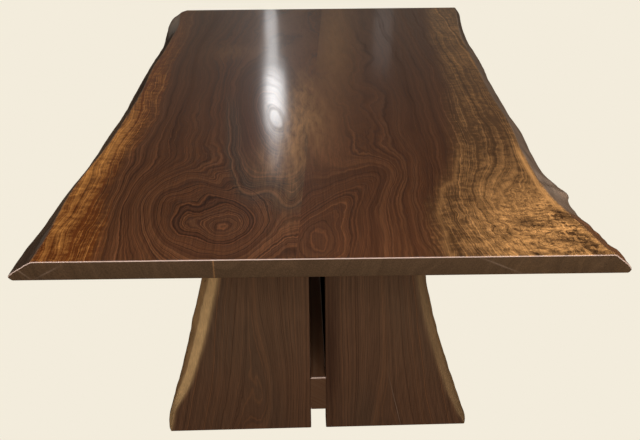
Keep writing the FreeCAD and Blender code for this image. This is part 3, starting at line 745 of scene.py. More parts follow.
def plank_walnut(name, wood, middle, pale):
    """The walnut of an upright plank, with its sapwood and live edge."""
    material, place = new_material(name)
    growth = plank_growth(place, middle)
    fibres, pores = fibre_figure(place, (420, 420, 16))
    rings = growth.bands(95, 5.0, 0.65)
    patches = place.stretched((6, 6, 2.2)).clouds(1.0, 2.0)
    tone = plank_heart(place, wood, growth, rings, patches)
    # Painted shade on the right planks' faces beside the gap.
    if middle[0] > 0:
        painted_gap_shade = place.hill(*PLANK_GAP_SHADE) * clamped(patches * 0.4 + 0.5)
        tone = tone.mixed(wood.heart_dark, painted_gap_shade * 0.8)
    live = place.painted("live")
    ragged = place.stretched((40, 40, 8)).clouds(1.0, 4.0, 0.6)
    sapwood = (place.painted("wrap") + ragged * 0.007).ramped(0.029, 0.019) * live
    bark_side = (live - sapwood).at_least(0)
    inward = place.painted("inward") + ragged * 0.003
    width = place.part(2).ramped(*PLANK_SAP_WIDENS) * 0.003 + 0.004
    fading = (width - inward).ramped(-0.008, 0.010) * (1 - live)
    foot_glow = place.part(2).ramped(*PLANK_FOOT_PALE) * 0.22
    sap_tone = place.flat(wood.plank_sap)
    sap_tone = sap_tone.tinted(0.96 + foot_glow + ragged * 0.16 + fibres * 0.05)
    tone = tone.mixed(sap_tone, clamped(sapwood + fading * 0.5) * pale)
    for (across, up), reach, lean in PLANK_LINES.get(name, ()):
        line = place.hill((across, 0, up), (PLANK_LINE_REACH, 0, reach), (0, lean, 0))
        tone = tone.mixed(wood.rim_right, line * 0.5)
    tone = tone.mixed(wood.plank_rim, bark_side * 0.9)
    pits = place.stretched((150, 150, 70)).clouds(1.0, 1.0).ramped(0.85, 1.25)
    tone = tone.mixed(wood.heart_dark, pits * bark_side * 0.8)
    tone = tone.tinted(1.0 + fibres * 0.20 - pores * 0.3 + bark_side * ragged * 0.3)
    height = rings * 0.4 + fibres * 0.3 - pores + bark_side * ragged * 3
    inputs = {
        "Base Color": tone,
        "Roughness": 0.46 + live * 0.12 + pores * 0.2,
        "Specular IOR Level": 0.2,
        "Normal": place.relief(height, 0.12 * MM, 0.35),
        "Coat Weight": wood.lacquer * 0.5,
        "Coat Roughness": 0.2,
    }
    return finish_material(material, place, inputs)


# Reach of the painted highlight on the stretcher's upper end arris.
ARRIS_HIGHLIGHT_REACH = 2.2 * MM


def straight_timber(name, base, dark, grain, lacquer=0.0, arris=None):
    """Straight-grained wood. The grain is the number of the axis that it runs along, and the
    arris is the colour of a painted highlight on the stretcher's upper end arris."""
    material, place = new_material(name)
    coarse = [9.0] * 3
    fine = [420.0] * 3
    coarse[grain] = 1.2
    fine[grain] = 14.0
    wander = place.stretched(coarse).clouds(1.0, 2.0)
    across = place.part((grain + 1) % 3) + place.part((grain + 2) % 3) * 0.6
    rings = (across + wander * 0.004).bands(170, 4.0, 0.6)
    fibres, pores = fibre_figure(place, fine)
    tone = place.flat(base).mixed(dark, clamped(rings * 0.35 + 0.35))
    tone = tone.tinted(1.0 + wander * 0.08 + fibres * 0.10 - pores * 0.3)
    # Painted highlight on the stretcher's upper end arris.
    if arris:
        corner = place.stretched((0, 1, 1)).hill(ARRIS_HIGHLIGHT_PLACE, (0, ARRIS_HIGHLIGHT_REACH, ARRIS_HIGHLIGHT_REACH))
        tone = tone.mixed(arris, corner)
    inputs = {
        "Base Color": tone,
        "Roughness": 0.38 + pores * 0.2,
        "Normal": place.relief(fibres * 0.4 - pores, 0.12 * MM, 0.35),
        "Coat Weight": lacquer,
        "Coat Roughness": 0.2,
    }
    return finish_material(material, place, inputs)


def machined_metal(name, tone, blur):
    """Metal with fine turning marks and a faint unevenness."""
    material, place = new_material(name)
    marks = place.stretched((300, 300, 2600)).clouds(1.0, 2.0)
    stains = place.clouds(140, 3.0)
    inputs = {
        "Base Color": place.flat(tone).tinted(1.0 + stains * 0.08),
        "Metallic": 1.0,
        "Roughness": blur + stains * 0.05 + marks * 0.03,
        "Normal": place.relief(marks, 0.02 * MM, 0.3),
    }
    return finish_material(material, place, inputs)


# Meshes


def piece_from(name, mesh, material, slot, *nodes):
    """Puts a mesh in the scene as a piece that replaces CAD nodes and takes a material. The slot is
    not used.
    """
    piece = bpy.data.objects.new(name, mesh)
    bpy.context.scene.collection.objects.link(piece)
    mesh.materials.clear()
    mesh.materials.append(material)
    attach(piece, BODY)
    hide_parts(*nodes)
    return piece


# Points within the merge gap are joined, faces within the flat angle too, and edges over the
# corner angle are eased. Edges over the smooth or the eased angle are shaded sharp.
MERGE_GAP = 0.01 * MM
FLAT_ANGLE = math.radians(0.5)
CORNER_ANGLE = 0.5
SMOOTH_ANGLE = math.radians(40)
EASED_ANGLE = math.radians(30)

# Turned shapes: the points of a ring, of a cutter's ring, the flutes round a dowel, and the easing
# of a washer's edges.
SIDES = 48
BORE_SIDES = 32
FLUTES = 12
WASHER_EASE = 0.3 * MM

# Sections of a live-edge slab go down the live edge through these shares of its thickness.
LEVEL_SHARES = (1.0, 0.9, 0.8, 0.7, 0.6, 0.5, 0.4, 0.32, 0.25, 0.17, 0.09, 0.0)
TIP_LEVEL = LEVEL_SHARES.index(0.25)
ARC_STEPS = 4
FACE_COLUMNS = 22
BACK_COLUMNS = FACE_COLUMNS + 2 * TIP_LEVEL - len(LEVEL_SHARES) + 1

# The columns of a flat side keep clear of an easing by this many times its radius, and the stations
# along a slab keep clear of its rounded ends in the same way.
COLUMN_ROOM = 1.6
STATION_ROOM = 1.5

# Rays look for a slab's sawn sides at these shares of its length and width. They start clear of the
# slab, and stay a little inside its faces and ends.
ALONG_SHARES = (0.25, 0.75)
OUT_SHARES = (0.25, 0.6)
CLEAR = 0.1
INSIDE = 0.01
SKIN = 4 * MM


class Slab:
    """A CAD slab with one live edge, read in its own directions.

    Along runs with the grain, out runs from the sawn inner edge to the live edge, and face points
    out of the face that shows."""

    def __init__(self, node, along, out, face, stop=None):
        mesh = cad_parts[node].data
        self.axes = Matrix((along, out, face))
        points = [self.axes @ vertex.co for vertex in mesh.vertices]
        self.tree = BVHTree.FromPolygons(points, [side.vertices for side in mesh.polygons])
        self.low = [min(point[axis] for point in points) for axis in range(3)]
        self.high = [max(point[axis] for point in points) for axis in range(3)]
        self.inner = self.line_of(1, ALONG_SHARES, 0, 1)
        self.start = self.line_of(0, OUT_SHARES, 1, 1)
        self.stop = self.line_of(0, OUT_SHARES, 1, -1) if stop is None else (stop, 0.0)

    def cast(self, start, direction):
        """Where a ray meets the slab."""
        hit = self.tree.ray_cast(Vector(start), Vector(direction).normalized())[0]
        if hit is None:
            raise RuntimeError(f"A ray from {tuple(start)} misses the slab")
        return hit

    def line_of(self, axis, shares, across, sense):
        """A sawn side as a straight line: its place on one axis, and its slope over another one."""
        found = []
        for part in shares:
            start = [0.0, 0.0, self.high[2] - SKIN]
            start[across] = self.low[across] + part * (self.high[across] - self.low[across])
            start[axis] = self.low[axis] - CLEAR if sense > 0 else self.high[axis] + CLEAR
            direction = [0.0, 0.0, 0.0]
            direction[axis] = sense
            found.append((start[across], self.cast(start, direction)[axis]))
        (from_a, a), (from_b, b) = found
        slope = (b - a) / (from_b - from_a)
        return a - slope * from_a, slope

    def station(self, place, out):
        """How far along a station is, given as a share of the length, at a distance out."""
        start = self.start[0] + self.start[1] * out
        stop = self.stop[0] + self.stop[1] * out
        return start + place * (stop - start)

    def length(self):
        """The length of the slab."""
        return self.stop[0] - self.start[0]

    def inner_reach(self, place):
        """How far out the sawn inner edge is at a station."""
        out = self.inner[0]
        for _ in range(3):
            out = self.inner[0] + self.inner[1] * self.station(place, out)
        return out

    def rim(self, place):
        """How far out the live edge reaches at each level of a station."""
        hidden = SKIN / self.length()
        place = min(max(place, hidden), 1 - hidden)
        far_out = self.high[1] + CLEAR
        inner = self.inner_reach(place)
        depth = self.high[2] - self.low[2]
        reaches = []
        for share_up in LEVEL_SHARES:
            height = self.low[2] + min(max(share_up, INSIDE), 1 - INSIDE) * depth
            start = Vector((self.station(place, far_out), far_out, height))
            target = Vector((self.station(place, inner), inner, height))
            reaches.append(self.cast(start, target - start)[1])
        return np.array(reaches)

    def world(self, along, out, up):
        """A place of the slab's own directions in the table's frame."""
        return self.axes.transposed() @ Vector((along, out, up))


def softened(reaches):
    """Reaches with the kinks between their levels smoothed, the outermost one kept."""
    soft = reaches
    for _ in range(2):
        inside = (soft[:-2] + 2 * soft[1:-1] + soft[2:]) / 4
        soft = np.concatenate((soft[:1], inside, soft[-1:]))
    share_out = (soft - soft[0]) / (soft.max() - soft[0])
    return soft + np.clip(share_out, 0, 1) * (reaches.max() - soft.max())


def bent(start, corner, end):
    """Points of a curve from start to end that a corner pulls at."""
    steps = np.linspace(0, 1, ARC_STEPS)[:, None]
    return (1 - steps) ** 2 * start + 2 * steps * (1 - steps) * corner + steps**2 * end


def half_section(inner, rim_points, columns, arris, inner_arris):
    """One half of a slab's section, from the inner edge over a flat side to the tip.

    Returns the points, and for each how far inward of the rim it lies, how far round the live
    edge, and how much of it is live edge."""
    corner = rim_points[0]
    flat = np.array((1.0, 0.0))
    depth = np.sign(rim_points[1][1] - corner[1])
    first = np.array((inner, corner[1]))
    slope = rim_points[1] - corner
    slope = slope / np.linalg.norm(slope)
    parts = []
    live = []
    if inner_arris:
        below = first + np.array((0, depth * inner_arris))
        parts.append(bent(below, first, first + flat * inner_arris))
        live.append(np.zeros(ARC_STEPS))
    begin = first + flat * inner_arris * COLUMN_ROOM
    end = corner - flat * arris * COLUMN_ROOM
    spread = np.linspace(0, 1, columns)[:, None]
    parts.append(begin + spread * (end - begin))
    live.append(np.zeros(columns))
    parts.append(bent(corner - flat * arris, corner, corner + slope * arris))
    live.append(np.linspace(0, 0.9, ARC_STEPS))
    parts.append(rim_points[1:])
    live.append(np.ones(len(rim_points) - 1))
    live = np.concatenate(live)
    points = np.concatenate(parts)
    steps = np.linalg.norm(np.diff(points, axis=0), axis=1)
    run = np.concatenate(((0,), np.cumsum(steps)))
    wrap = np.maximum(run - run[-len(rim_points)], 0)
    inward = np.maximum(corner[0] - points[:, 0], 0) * (live < 1)
    return points, inward, wrap, live


def outward_normals(points):
    """Normals of an open run of section points, pointing to its left."""
    along = np.gradient(points, axis=0)
    normals = np.stack((-along[:, 1], along[:, 0]), axis=1)
    return normals / np.linalg.norm(normals, axis=1)[:, None]


def rounded_ends(run, radius, step):
    """Stations along a slab with rounded ends, as pairs of a share of the run and an inset."""
    stations = []
    for turn in np.linspace(0, math.pi / 2, ARC_STEPS + 1):
        stations.append((radius * (1 - math.cos(turn)) / run, radius * (1 - math.sin(turn))))
    mirrored = [(1 - place, inset) for place, inset in reversed(stations)]
    count = max(2, round(run / step))
    room = STATION_ROOM * radius / run
    places = np.linspace(room, 1 - room, count)
    return stations + [(place, 0.0) for place in places] + mirrored


def slab_mesh(name, slab, step, arris, end_arris, inner_arris, relief):
    """A fine mesh of a slab: sections all along it, each with its own live edge and relief."""
    low, high = slab.low[2], slab.high[2]
    heights = np.array([low + part * (high - low) for part in LEVEL_SHARES])
    vertices, marks, faces = [], [], []
    for place, inset in rounded_ends(slab.length(), end_arris, step):
        reaches = softened(slab.rim(place))
        rim_points = np.stack((reaches, heights), axis=1)
        inner = slab.inner_reach(place)
        face = half_section(inner, rim_points[: TIP_LEVEL + 1], FACE_COLUMNS, arris, inner_arris)
        back = half_section(inner, rim_points[TIP_LEVEL:][::-1], BACK_COLUMNS, arris, inner_arris)
        joined = [np.concatenate((one, other[:-1][::-1])) for one, other in zip(face, back)]
        points, inward, wrap, live = joined
        normals = outward_normals(points)
        if not inner_arris:
            normals[0] = (0, 1)
            normals[-1] = (0, -1)
        half = len(face[0])
        row_is_near = place < 0.5
        for index, (point, normal) in enumerate(zip(points, normals)):
            spot = slab.station(place, point[0])
            lift = relief(spot, wrap[index]) * live[index]
            out, up = point + normal * (lift - inset)
            vertices.append(slab.world(slab.station(place, out), out, up))
            # Painted highlight: the upper half of the rounded near end gets an arris mark, strongest
            # in the middle of the rounding.
            turned = 1 - abs(2 * inset / end_arris - 1)
            lit = turned if row_is_near and index < half else 0.0
            marks.append((inward[index], wrap[index], live[index], lit))
    count = len(points)
    rows = len(vertices) // count
    for row in range(rows - 1):
        for column in range(count):
            following = (column + 1) % count
            corners = (row * count + column, row * count + following)
            faces.append((*corners, corners[1] + count, corners[0] + count))
    for row in (0, rows - 1):
        for column in range(half - 1):
            ends = (column, column + 1, count - 2 - column, count - 1 - column)
            corners = list(dict.fromkeys(row * count + end for end in ends))
            faces.append(corners)
    mesh = bpy.data.meshes.new(name)
    mesh.from_pydata(vertices, [], faces)
    # The arris mark holds the strength of the painted highlight.
    for number, key in enumerate(("inward", "wrap", "live", "arris")):
        layer = mesh.attributes.new(key, "FLOAT", "POINT")
        layer.data.foreach_set("value", [mark[number] for mark in marks])
    smooth(mesh)
    return mesh


def smooth(mesh):
    """Faces a mesh outwards and shades it smooth."""
    body = bmesh.new()
    body.from_mesh(mesh)
    bmesh.ops.recalc_face_normals(body, faces=body.faces)
    for face in body.faces:
        face.smooth = True
    body.to_mesh(mesh)
    body.free()
    mesh.set_sharp_from_angle(angle=SMOOTH_ANGLE)


def eased_copy(name, node, radius):
    """A copy of a CAD node's mesh with its sharp edges eased."""
    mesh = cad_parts[node].data.copy()
    mesh.name = name
    body = bmesh.new()
    body.from_mesh(mesh)
    bmesh.ops.remove_doubles(body, verts=body.verts, dist=MERGE_GAP)
    bmesh.ops.dissolve_limit(body, angle_limit=FLAT_ANGLE, verts=body.verts, edges=body.edges)
    sharp = [
        edge for edge in body.edges if edge.is_manifold and edge.calc_face_angle() > CORNER_ANGLE
    ]
    bmesh.ops.bevel(
        body, geom=sharp, offset=radius, segments=3, profile=0.5, affect="EDGES", clamp_overlap=True
    )
    bmesh.ops.recalc_face_normals(body, faces=body.faces)
    body.to_mesh(mesh)
    body.free()
    mesh.set_sharp_from_angle(angle=EASED_ANGLE)
    return mesh


def islands(node):
    """The boxes of a CAD node's separate solids, as a list of (low, high)."""
    body = bmesh.new()
    body.from_mesh(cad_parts[node].data)
    bmesh.ops.remove_doubles(body, verts=body.verts, dist=MERGE_GAP)
    waiting = set(body.verts)
    boxes = []
    while waiting:
        group = [waiting.pop()]
        for vertex in group:
            linked = {edge.other_vert(vertex) for edge in vertex.link_edges} & waiting
            waiting -= linked
            group.extend(linked)
        low, high = (
            Vector([pick(vertex.co[axis] for vertex in group) for axis in range(3)])
            for pick in (min, max)
        )
        boxes.append((low, high))
    body.free()
    return sorted(boxes, key=lambda box: tuple(round(part, 4) for part in box[0]))


def middles(node):
    """The middles of a CAD node's separate solids."""
    return [(low + high) / 2 for low, high in islands(node)]


def turned_mesh(name, places, along, rows, tube=False, sides=SIDES):
    """Turned shapes with their axes along a direction, each a stack of rings from its end outwards.

    A row is a pair of the distance from the place and a function that gives the reach at a turn.
    A tube's last ring joins its first one, and the other shapes are closed at both ends."""
    upright = UP.rotation_difference(along).to_matrix()
    turns = [2 * math.pi * side / sides for side in range(sides)]
    vertices, faces = [], []
    for place in places:
        first = len(vertices)
        for height, reach in rows:
            for turn in turns:
                far = reach(turn)
                ring_point = Vector((far * math.cos(turn), far * math.sin(turn), height))
                vertices.append(place + upright @ ring_point)
        for row in range(len(rows) if tube else len(rows) - 1):
            low = first + row * sides
            high = first + (row + 1) % len(rows) * sides
            for side in range(sides):
                after = (side + 1) % sides
                faces.append((low + side, low + after, high + after, high + side))
        if not tube:
            faces.append(range(first, first + sides))
            faces.append(range(len(vertices) - sides, len(vertices)))
    mesh = bpy.data.meshes.new(name)
    mesh.from_pydata(vertices, [], faces)
    smooth(mesh)
    return mesh


def many_sided(width, count):
    """The reach of a regular outline with a number of flats, from its width across them.

    A hexagon starts at a corner, and any other outline at the middle of a flat."""

    def reach(turn):
        step = 2 * math.pi / count
        shift = 0 if count == 6 else step / 2
        return width / 2 / math.cos((turn + shift) % step - step / 2)

    return reach


def round_shape(radius):
    """The reach of a circle."""
    return lambda turn: radius


def narrower(one, other):
    """The smaller one of two reaches at each turn."""
    return lambda turn: min(one(turn), other(turn))


def thread_row(radius, depth, pitch, height):
    """One ring of a thread: its reach swings once round between the crest and the root."""

    def reach(turn):
        phase = (height / pitch - turn / (2 * math.pi)) % 1
        return radius - depth * (1 - abs(2 * phase - 1))

    return height, reach


def pin_mesh(name, node, along, shape, fluted=False):
    """Pegs or dowels in the places of a CAD node's pins, with chamfered ends."""
    low, high = islands(node)[0]
    axis = max(range(3), key=lambda number: abs(along[number]))
    half = (high[axis] - low[axis]) / 2
    radius = (high.z - low.z) / 2
    chamfer = shape.pin_chamfer

    def fluted_reach(turn):
        return radius - shape.flute * max(0.0, math.cos(turn * FLUTES)) ** 2

    body = fluted_reach if fluted else round_shape(radius)
    tip = round_shape(radius - chamfer)
    rows = [(-half, tip), (chamfer - half, body), (half - chamfer, body), (half, tip)]
    return turned_mesh(name, middles(node), along, rows, sides=2 * SIDES if fluted else SIDES)


# A bolt's head: the circles of its top and of the face under it, as shares of the width across its
# flats, how far its corners are chamfered down, the shares of that at which rings lie, and the
# height of the face. Its thread has so many rings to a turn, and deepens over as many, after a short
# run-out.
HEAD_TOP = 0.96
HEAD_FACE = 0.97
HEAD_CHAMFER = 1.1 * MM
CHAMFER_SHARES = (0.35, 0.7, 1.0)
FACE_HEIGHT = 0.3 * MM
THREAD_RINGS = 5
RUN_OUT = 0.5 * MM


def bolt_mesh(name, node, shape):
    """Hexagon bolts with a chamfered head, a plain shank and a thread at the tip."""
    low, high = islands(node)[0]
    reach_up = (high.z - low.z) / 2
    seat = shape.head_height - reach_up
    head = many_sided(shape.head_width, 6)
    flat = shape.head_width / 2
    shank = shape.bolt_width / 2
    rows = [(-reach_up, narrower(head, round_shape(flat * HEAD_TOP)))]
    for share_down in CHAMFER_SHARES:
        grown = round_shape(flat * HEAD_TOP + share_down * (head(0.0) - flat))
        rows.append((share_down * HEAD_CHAMFER - reach_up, narrower(head, grown)))
    thread_start = reach_up - shape.thread_length
    rows += [
        (seat - FACE_HEIGHT, head),
        (seat - FACE_HEIGHT, round_shape(flat * HEAD_FACE)),
        (seat, round_shape(flat * HEAD_FACE)),
        (seat, round_shape(shank)),
        (thread_start - RUN_OUT, round_shape(shank)),
    ]
    step = shape.thread_pitch / THREAD_RINGS
    count = int((reach_up - shape.pin_chamfer - thread_start) / step)
    for number in range(count):
        depth = shape.thread_depth * min(1.0, number / THREAD_RINGS)
        rows.append(thread_row(shank, depth, shape.thread_pitch, thread_start + number * step))
    rows.append((reach_up, round_shape(shank - shape.thread_depth - shape.pin_chamfer)))
    return turned_mesh(name, middles(node), UP, rows)


def washer_mesh(name, node, shape):
    """Square plate washers with eased edges."""
    low, high = islands(node)[0]
    half = (high.z - low.z) / 2
    width = high.x - low.x
    ease = WASHER_EASE
    bore = shape.bolt_width / 2 + shape.fit_gap
    rows = [
        (-half, many_sided(width - 2 * ease, 4)),
        (ease - half, many_sided(width, 4)),
        (half - ease, many_sided(width, 4)),
        (half, many_sided(width - 2 * ease, 4)),
        (half, round_shape(bore + ease)),
        (half - ease, round_shape(bore)),
        (ease - half, round_shape(bore)),
        (-half, round_shape(bore + ease)),
    ]
    return turned_mesh(name, middles(node), UP, rows, tube=True)


# An insert's ends are eased, and its outer thread has so many rings to a turn and deepens over half
# as many at both ends.
INSERT_EASE = 0.5 * MM
INSERT_RINGS = 8


def insert_mesh(name, node, shape):
    """Threaded inserts: a sleeve with a coarse thread outside."""
    low, high = islands(node)[0]
    half = (high.z - low.z) / 2
    radius = (high.x - low.x) / 2
    bore = shape.bolt_width / 2 + shape.fit_gap
    ease = INSERT_EASE
    rows = [(-half, round_shape(radius - ease)), (ease - half, round_shape(radius))]
    step = shape.insert_pitch / INSERT_RINGS
    count = int((2 * half - 4 * ease) / step)
    for number in range(count):
        from_end = min(number, count - 1 - number)
        depth = shape.insert_ridge * min(1.0, 2 * from_end / INSERT_RINGS)
        rows.append(thread_row(radius, depth, shape.insert_pitch, 2 * ease - half + number * step))
    rows += [
        (half - ease, round_shape(radius)),
        (half, round_shape(radius - ease)),
        (half, round_shape(bore + ease)),
        (half - ease, round_shape(bore)),
        (ease - half, round_shape(bore)),
        (-half, round_shape(bore + ease)),
    ]
    return turned_mesh(name, middles(node), UP, rows, tube=True)


def box_mesh(low, high, chamfer=0.0):
    """A box between two corners, its four upper edges chamfered."""
    body = bmesh.new()
    bmesh.ops.create_cube(body, size=1)
    for vertex in body.verts:
        for axis in range(3):
            vertex.co[axis] = high[axis] if vertex.co[axis] > 0 else low[axis]
    if chamfer:
        upper = [edge for edge in body.edges if min(end.co.z for end in edge.verts) > low[2]]
        bmesh.ops.bevel(body, geom=upper, offset=chamfer, segments=1, affect="EDGES")
    mesh = bpy.data.meshes.new("tenon")
    body.to_mesh(mesh)
    body.free()
    return mesh


def grown_copy(node, gap):
    """A CAD node's mesh pushed outwards by a gap, as a cutter."""
    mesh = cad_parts[node].data.copy()
    body = bmesh.new()
    body.from_mesh(mesh)
    bmesh.ops.remove_doubles(body, verts=body.verts, dist=MERGE_GAP)
    bmesh.ops.recalc_face_normals(body, faces=body.faces)
    for vertex in body.verts:
        vertex.co += vertex.normal * vertex.calc_shell_factor() * gap
    body.to_mesh(mesh)
    body.free()
    return mesh


def carved(mesh, operation, tool):
    """A mesh after one Boolean operation with another one, which is used up."""
    pair = [bpy.data.objects.new("carved", mesh), bpy.data.objects.new("tool", tool)]
    for thing in pair:
        bpy.context.scene.collection.objects.link(thing)
    step = pair[0].modifiers.new("carve", "BOOLEAN")
    step.object = pair[1]
    step.operation = operation
    step.solver = "EXACT"
    graph = bpy.context.evaluated_depsgraph_get()
    result = pair[0].evaluated_get(graph)
    made = bpy.data.meshes.new_from_object(result, preserve_all_data_layers=True, depsgraph=graph)
    for thing in pair:
        bpy.data.objects.remove(thing)
    bpy.data.meshes.remove(tool)
    made.name = mesh.name
    made.polygons.foreach_set("material_index", [0] * len(made.polygons))
    if "custom_normal" in made.attributes:
        made.attributes.remove(made.attributes["custom_normal"])
    made.set_sharp_from_angle(angle=SMOOTH_ANGLE)
    return made


def bores(places, along, radius, start, end):
    """Round cutters through the places, running from one distance along them to another."""
    rows = [(start, round_shape(radius)), (end, round_shape(radius))]
    return turned_mesh("bores", places, along, rows, sides=BORE_SIDES)


# Ripples of a live edge: how many there are to a metre along it and round it, and the share of their
# depth that they are sunk by.
RIPPLES_ALONG = 13
RIPPLES_ROUND = 60
RIPPLE_SINK = 0.2

# The right live edge, with middles and reaches from the near end: lumps by the corner, how many of
# them to a metre along and round, and the share that they are sunk by; a nub, its place round the
# edge, and a hollow beside it, with its depth as a share of the nub's height.
LUMPS = (0.09, 0.11)
LUMPS_ALONG = 34
LUMPS_ROUND = 16
LUMP_SINK = 0.3
NUB_ALONG = (0.275, 0.007)
NUB_ROUND = (0.05, 0.009)
HOLLOW = (0.318, 0.022)
HOLLOW_SHARE = 0.8

# Where the ripples of each live edge start in the noise.
LEFT_SEED = 1.0
RIGHT_SEED = 9.0
FIRST_PLANK_SEED = 20.0


def live_ripples(shape, seed, strength=1.0):
    """Relief of a live edge: long ripples that run with the grain."""

    def relief(along, wrap):
        spot = Vector((along * RIPPLES_ALONG, wrap * RIPPLES_ROUND / strength, seed))
        return (noise.fractal(spot, 1.0, 2.0, 3) - RIPPLE_SINK) * shape.ripple * strength

    return relief


def swelling(place, middle, reach):
    """A smooth swelling round a middle, 1 at its top."""
    return math.exp(-(((place - middle) / reach) ** 2))


def lumpy_ripples(shape, seed):
    """Relief of the right board's edge: ripples, lumps by the near corner, and a nub."""
    ripples = live_ripples(shape, seed)

    def relief(along, wrap):
        from_near = along - NEAR_END
        spot = Vector((along * LUMPS_ALONG, wrap * LUMPS_ROUND, seed + 5))
        lumps = (noise.fractal(spot, 1.0, 2.0, 2) - LUMP_SINK) * swelling(from_near, *LUMPS)
        nub = swelling(from_near, *NUB_ALONG) * swelling(wrap, *NUB_ROUND)
        nub = nub - swelling(from_near, *HOLLOW) * HOLLOW_SHARE
        return ripples(along, wrap) + shape.lump * lumps + shape.nub * nub

    return relief


# Operators


class TableOperator(bpy.types.Operator):
    """What the operators share."""

    bl_options = {"REGISTER", "UNDO"}

    @staticmethod
    def settings(context):
        """The sizes and the colours."""
        return context.scene.table_shape, context.scene.table_wood


# Lights of the stage: name, place, what they look at, size, and whether the top mirrors them.
# They look at the middle of the top, at the room for the knees, or over the left board.
TOP_MIDDLE = (0, 0, TOP_HEIGHT)
KNEE_ROOM = (0, 0, 0.4)
OVER_BOARD = (-0.15, 0, 1.0)
LIGHTS = (
    ("key", (0, -1.6, 3.2), TOP_MIDDLE, (3.0, 0.3), True),
    ("front", (0.3, -4.2, 2.4), KNEE_ROOM, (3.0, 2.0), False),
    ("back", (0, 4.2, 3.2), KNEE_ROOM, (3.0, 2.0), False),
    ("lamp", (-0.245, 4.2, 2.15), OVER_BOARD, (0.09, 1.3), True),
    ("glow", (-0.20, 3.2, 1.90), OVER_BOARD, (0.13, 0.36), True),
    ("window", (0.63, 4.2, 1.75), OVER_BOARD, (0.14, 0.5), True),
)

# The floor is darker where the gap between the planks shows it: the middle and reach of that shade,
# and the places along where it starts and is full. The room dims between two heights of the sky.
FLOOR_REACH = 30.0
GAP_SHADE = ((0.035, 0.21), (0.055, 0.69))
GAP_SHADE_START = (-0.445, -0.39)
ROOM_HEIGHTS = (0.20, 0.46)


class TABLE_OT_stage(TableOperator):
    """Sets up the camera, the floor and the lights"""

    bl_idname = "table.stage"
    bl_label = "Stage"

    def execute(self, context):
        scene = context.scene
        stage = scene.table_stage
        scene.view_settings.view_transform = "Standard"
        self.add_camera(scene, stage)
        self.add_floor(scene, stage)
        self.add_room(scene, stage)
        for name, place, target, size, mirrored in LIGHTS:
            light = self.add_light(scene, name, place, target, size)
            light.data.energy = getattr(stage, name + "_light")
            light.visible_glossy = mirrored
        return {"FINISHED"}

    @staticmethod
    def add_camera(scene, stage):
        """A camera that looks along the table, turned by the yaw, the pitch and the roll."""
        data = bpy.data.cameras.new("camera")
        data.lens = stage.lens
        camera = bpy.data.objects.new("camera", data)
        turn = Matrix.Rotation(stage.yaw, 4, "Z")
        turn @= Matrix.Rotation(math.pi / 2 - stage.pitch, 4, "X")
        turn @= Matrix.Rotation(-stage.roll, 4, "Z")
        camera.matrix_world = Matrix.Translation(stage.eye) @ turn
        scene.collection.objects.link(camera)
        scene.camera = camera

    @staticmethod
    def add_floor(scene, stage):
        """A floor that shows the camera the backdrop's colour, throws its own colour on the table,
        and is clear from below."""
        mesh = bpy.data.meshes.new("floor")
        half = FLOOR_REACH
        corners = [(-half, -half, 0), (half, -half, 0), (half, half, 0), (-half, half, 0)]
        mesh.from_pydata(corners, [], [(0, 1, 2, 3)])
        floor = bpy.data.objects.new("floor", mesh)
        scene.collection.objects.link(floor)
        material, place = new_material("floor")
        shade = place.patch(*GAP_SHADE, mesa=True) * place.part(1).ramped(*GAP_SHADE_START)
        lit = place.flat(stage.backdrop).tinted(clamped(1.3 - shade * 1.9))
        glow = place.node("Emission", None, {"Color": lit, "Strength": 1.0})
        matt = place.node("BsdfDiffuse", None, {"Color": rgba(stage.floor)})
        seen = place.node("LightPath", None, None, "Is Camera Ray")
        lit_side = place.node("MixShader", None, {0: seen, 1: matt, 2: glow})
        below = place.node("NewGeometry", None, None, "Backfacing")
        clear = place.node("BsdfTransparent")
        both = place.node("MixShader", None, {0: below, 1: lit_side, 2: clear})
        both.node("OutputMaterial", None, {"Surface": both})
        mesh.materials.append(material)

    @staticmethod
    def add_room(scene, stage):
        """Surroundings that show the camera the backdrop's colour, and light the table less from
        overhead."""
        world = bpy.data.worlds.new("room")
        world.use_nodes = True
        world.node_tree.nodes.clear()
        room = Shade(world.node_tree)
        seen = room.node("LightPath", None, None, "Is Camera Ray")
        height = room.node("TexCoord", None, None, "Generated").part(2)
        level = height.ramped(*ROOM_HEIGHTS) * (stage.room_high - stage.room_low) + stage.room_low
        dim = room.node("Background", None, {"Color": rgba(stage.backdrop), "Strength": level})
        bright = room.node("Background", None, {"Color": rgba(stage.backdrop), "Strength": 1.0})
        both = room.node("MixShader", None, {0: seen, 1: dim, 2: bright})
        both.node("OutputWorld", None, {"Surface": both})
        scene.world = world

    @staticmethod
    def add_light(scene, name, place, target, size):
        """A rectangular light at a place, which looks at a target."""
        data = bpy.data.lights.new(name, "AREA")
        data.shape = "RECTANGLE"
        data.size, data.size_y = size
        light = bpy.data.objects.new(name, data)
        turn = (Vector(place) - Vector(target)).to_track_quat("Z", "Y")
        light.matrix_world = Matrix.Translation(place) @ turn.to_matrix().to_4x4()
        scene.collection.objects.link(light)
        return light


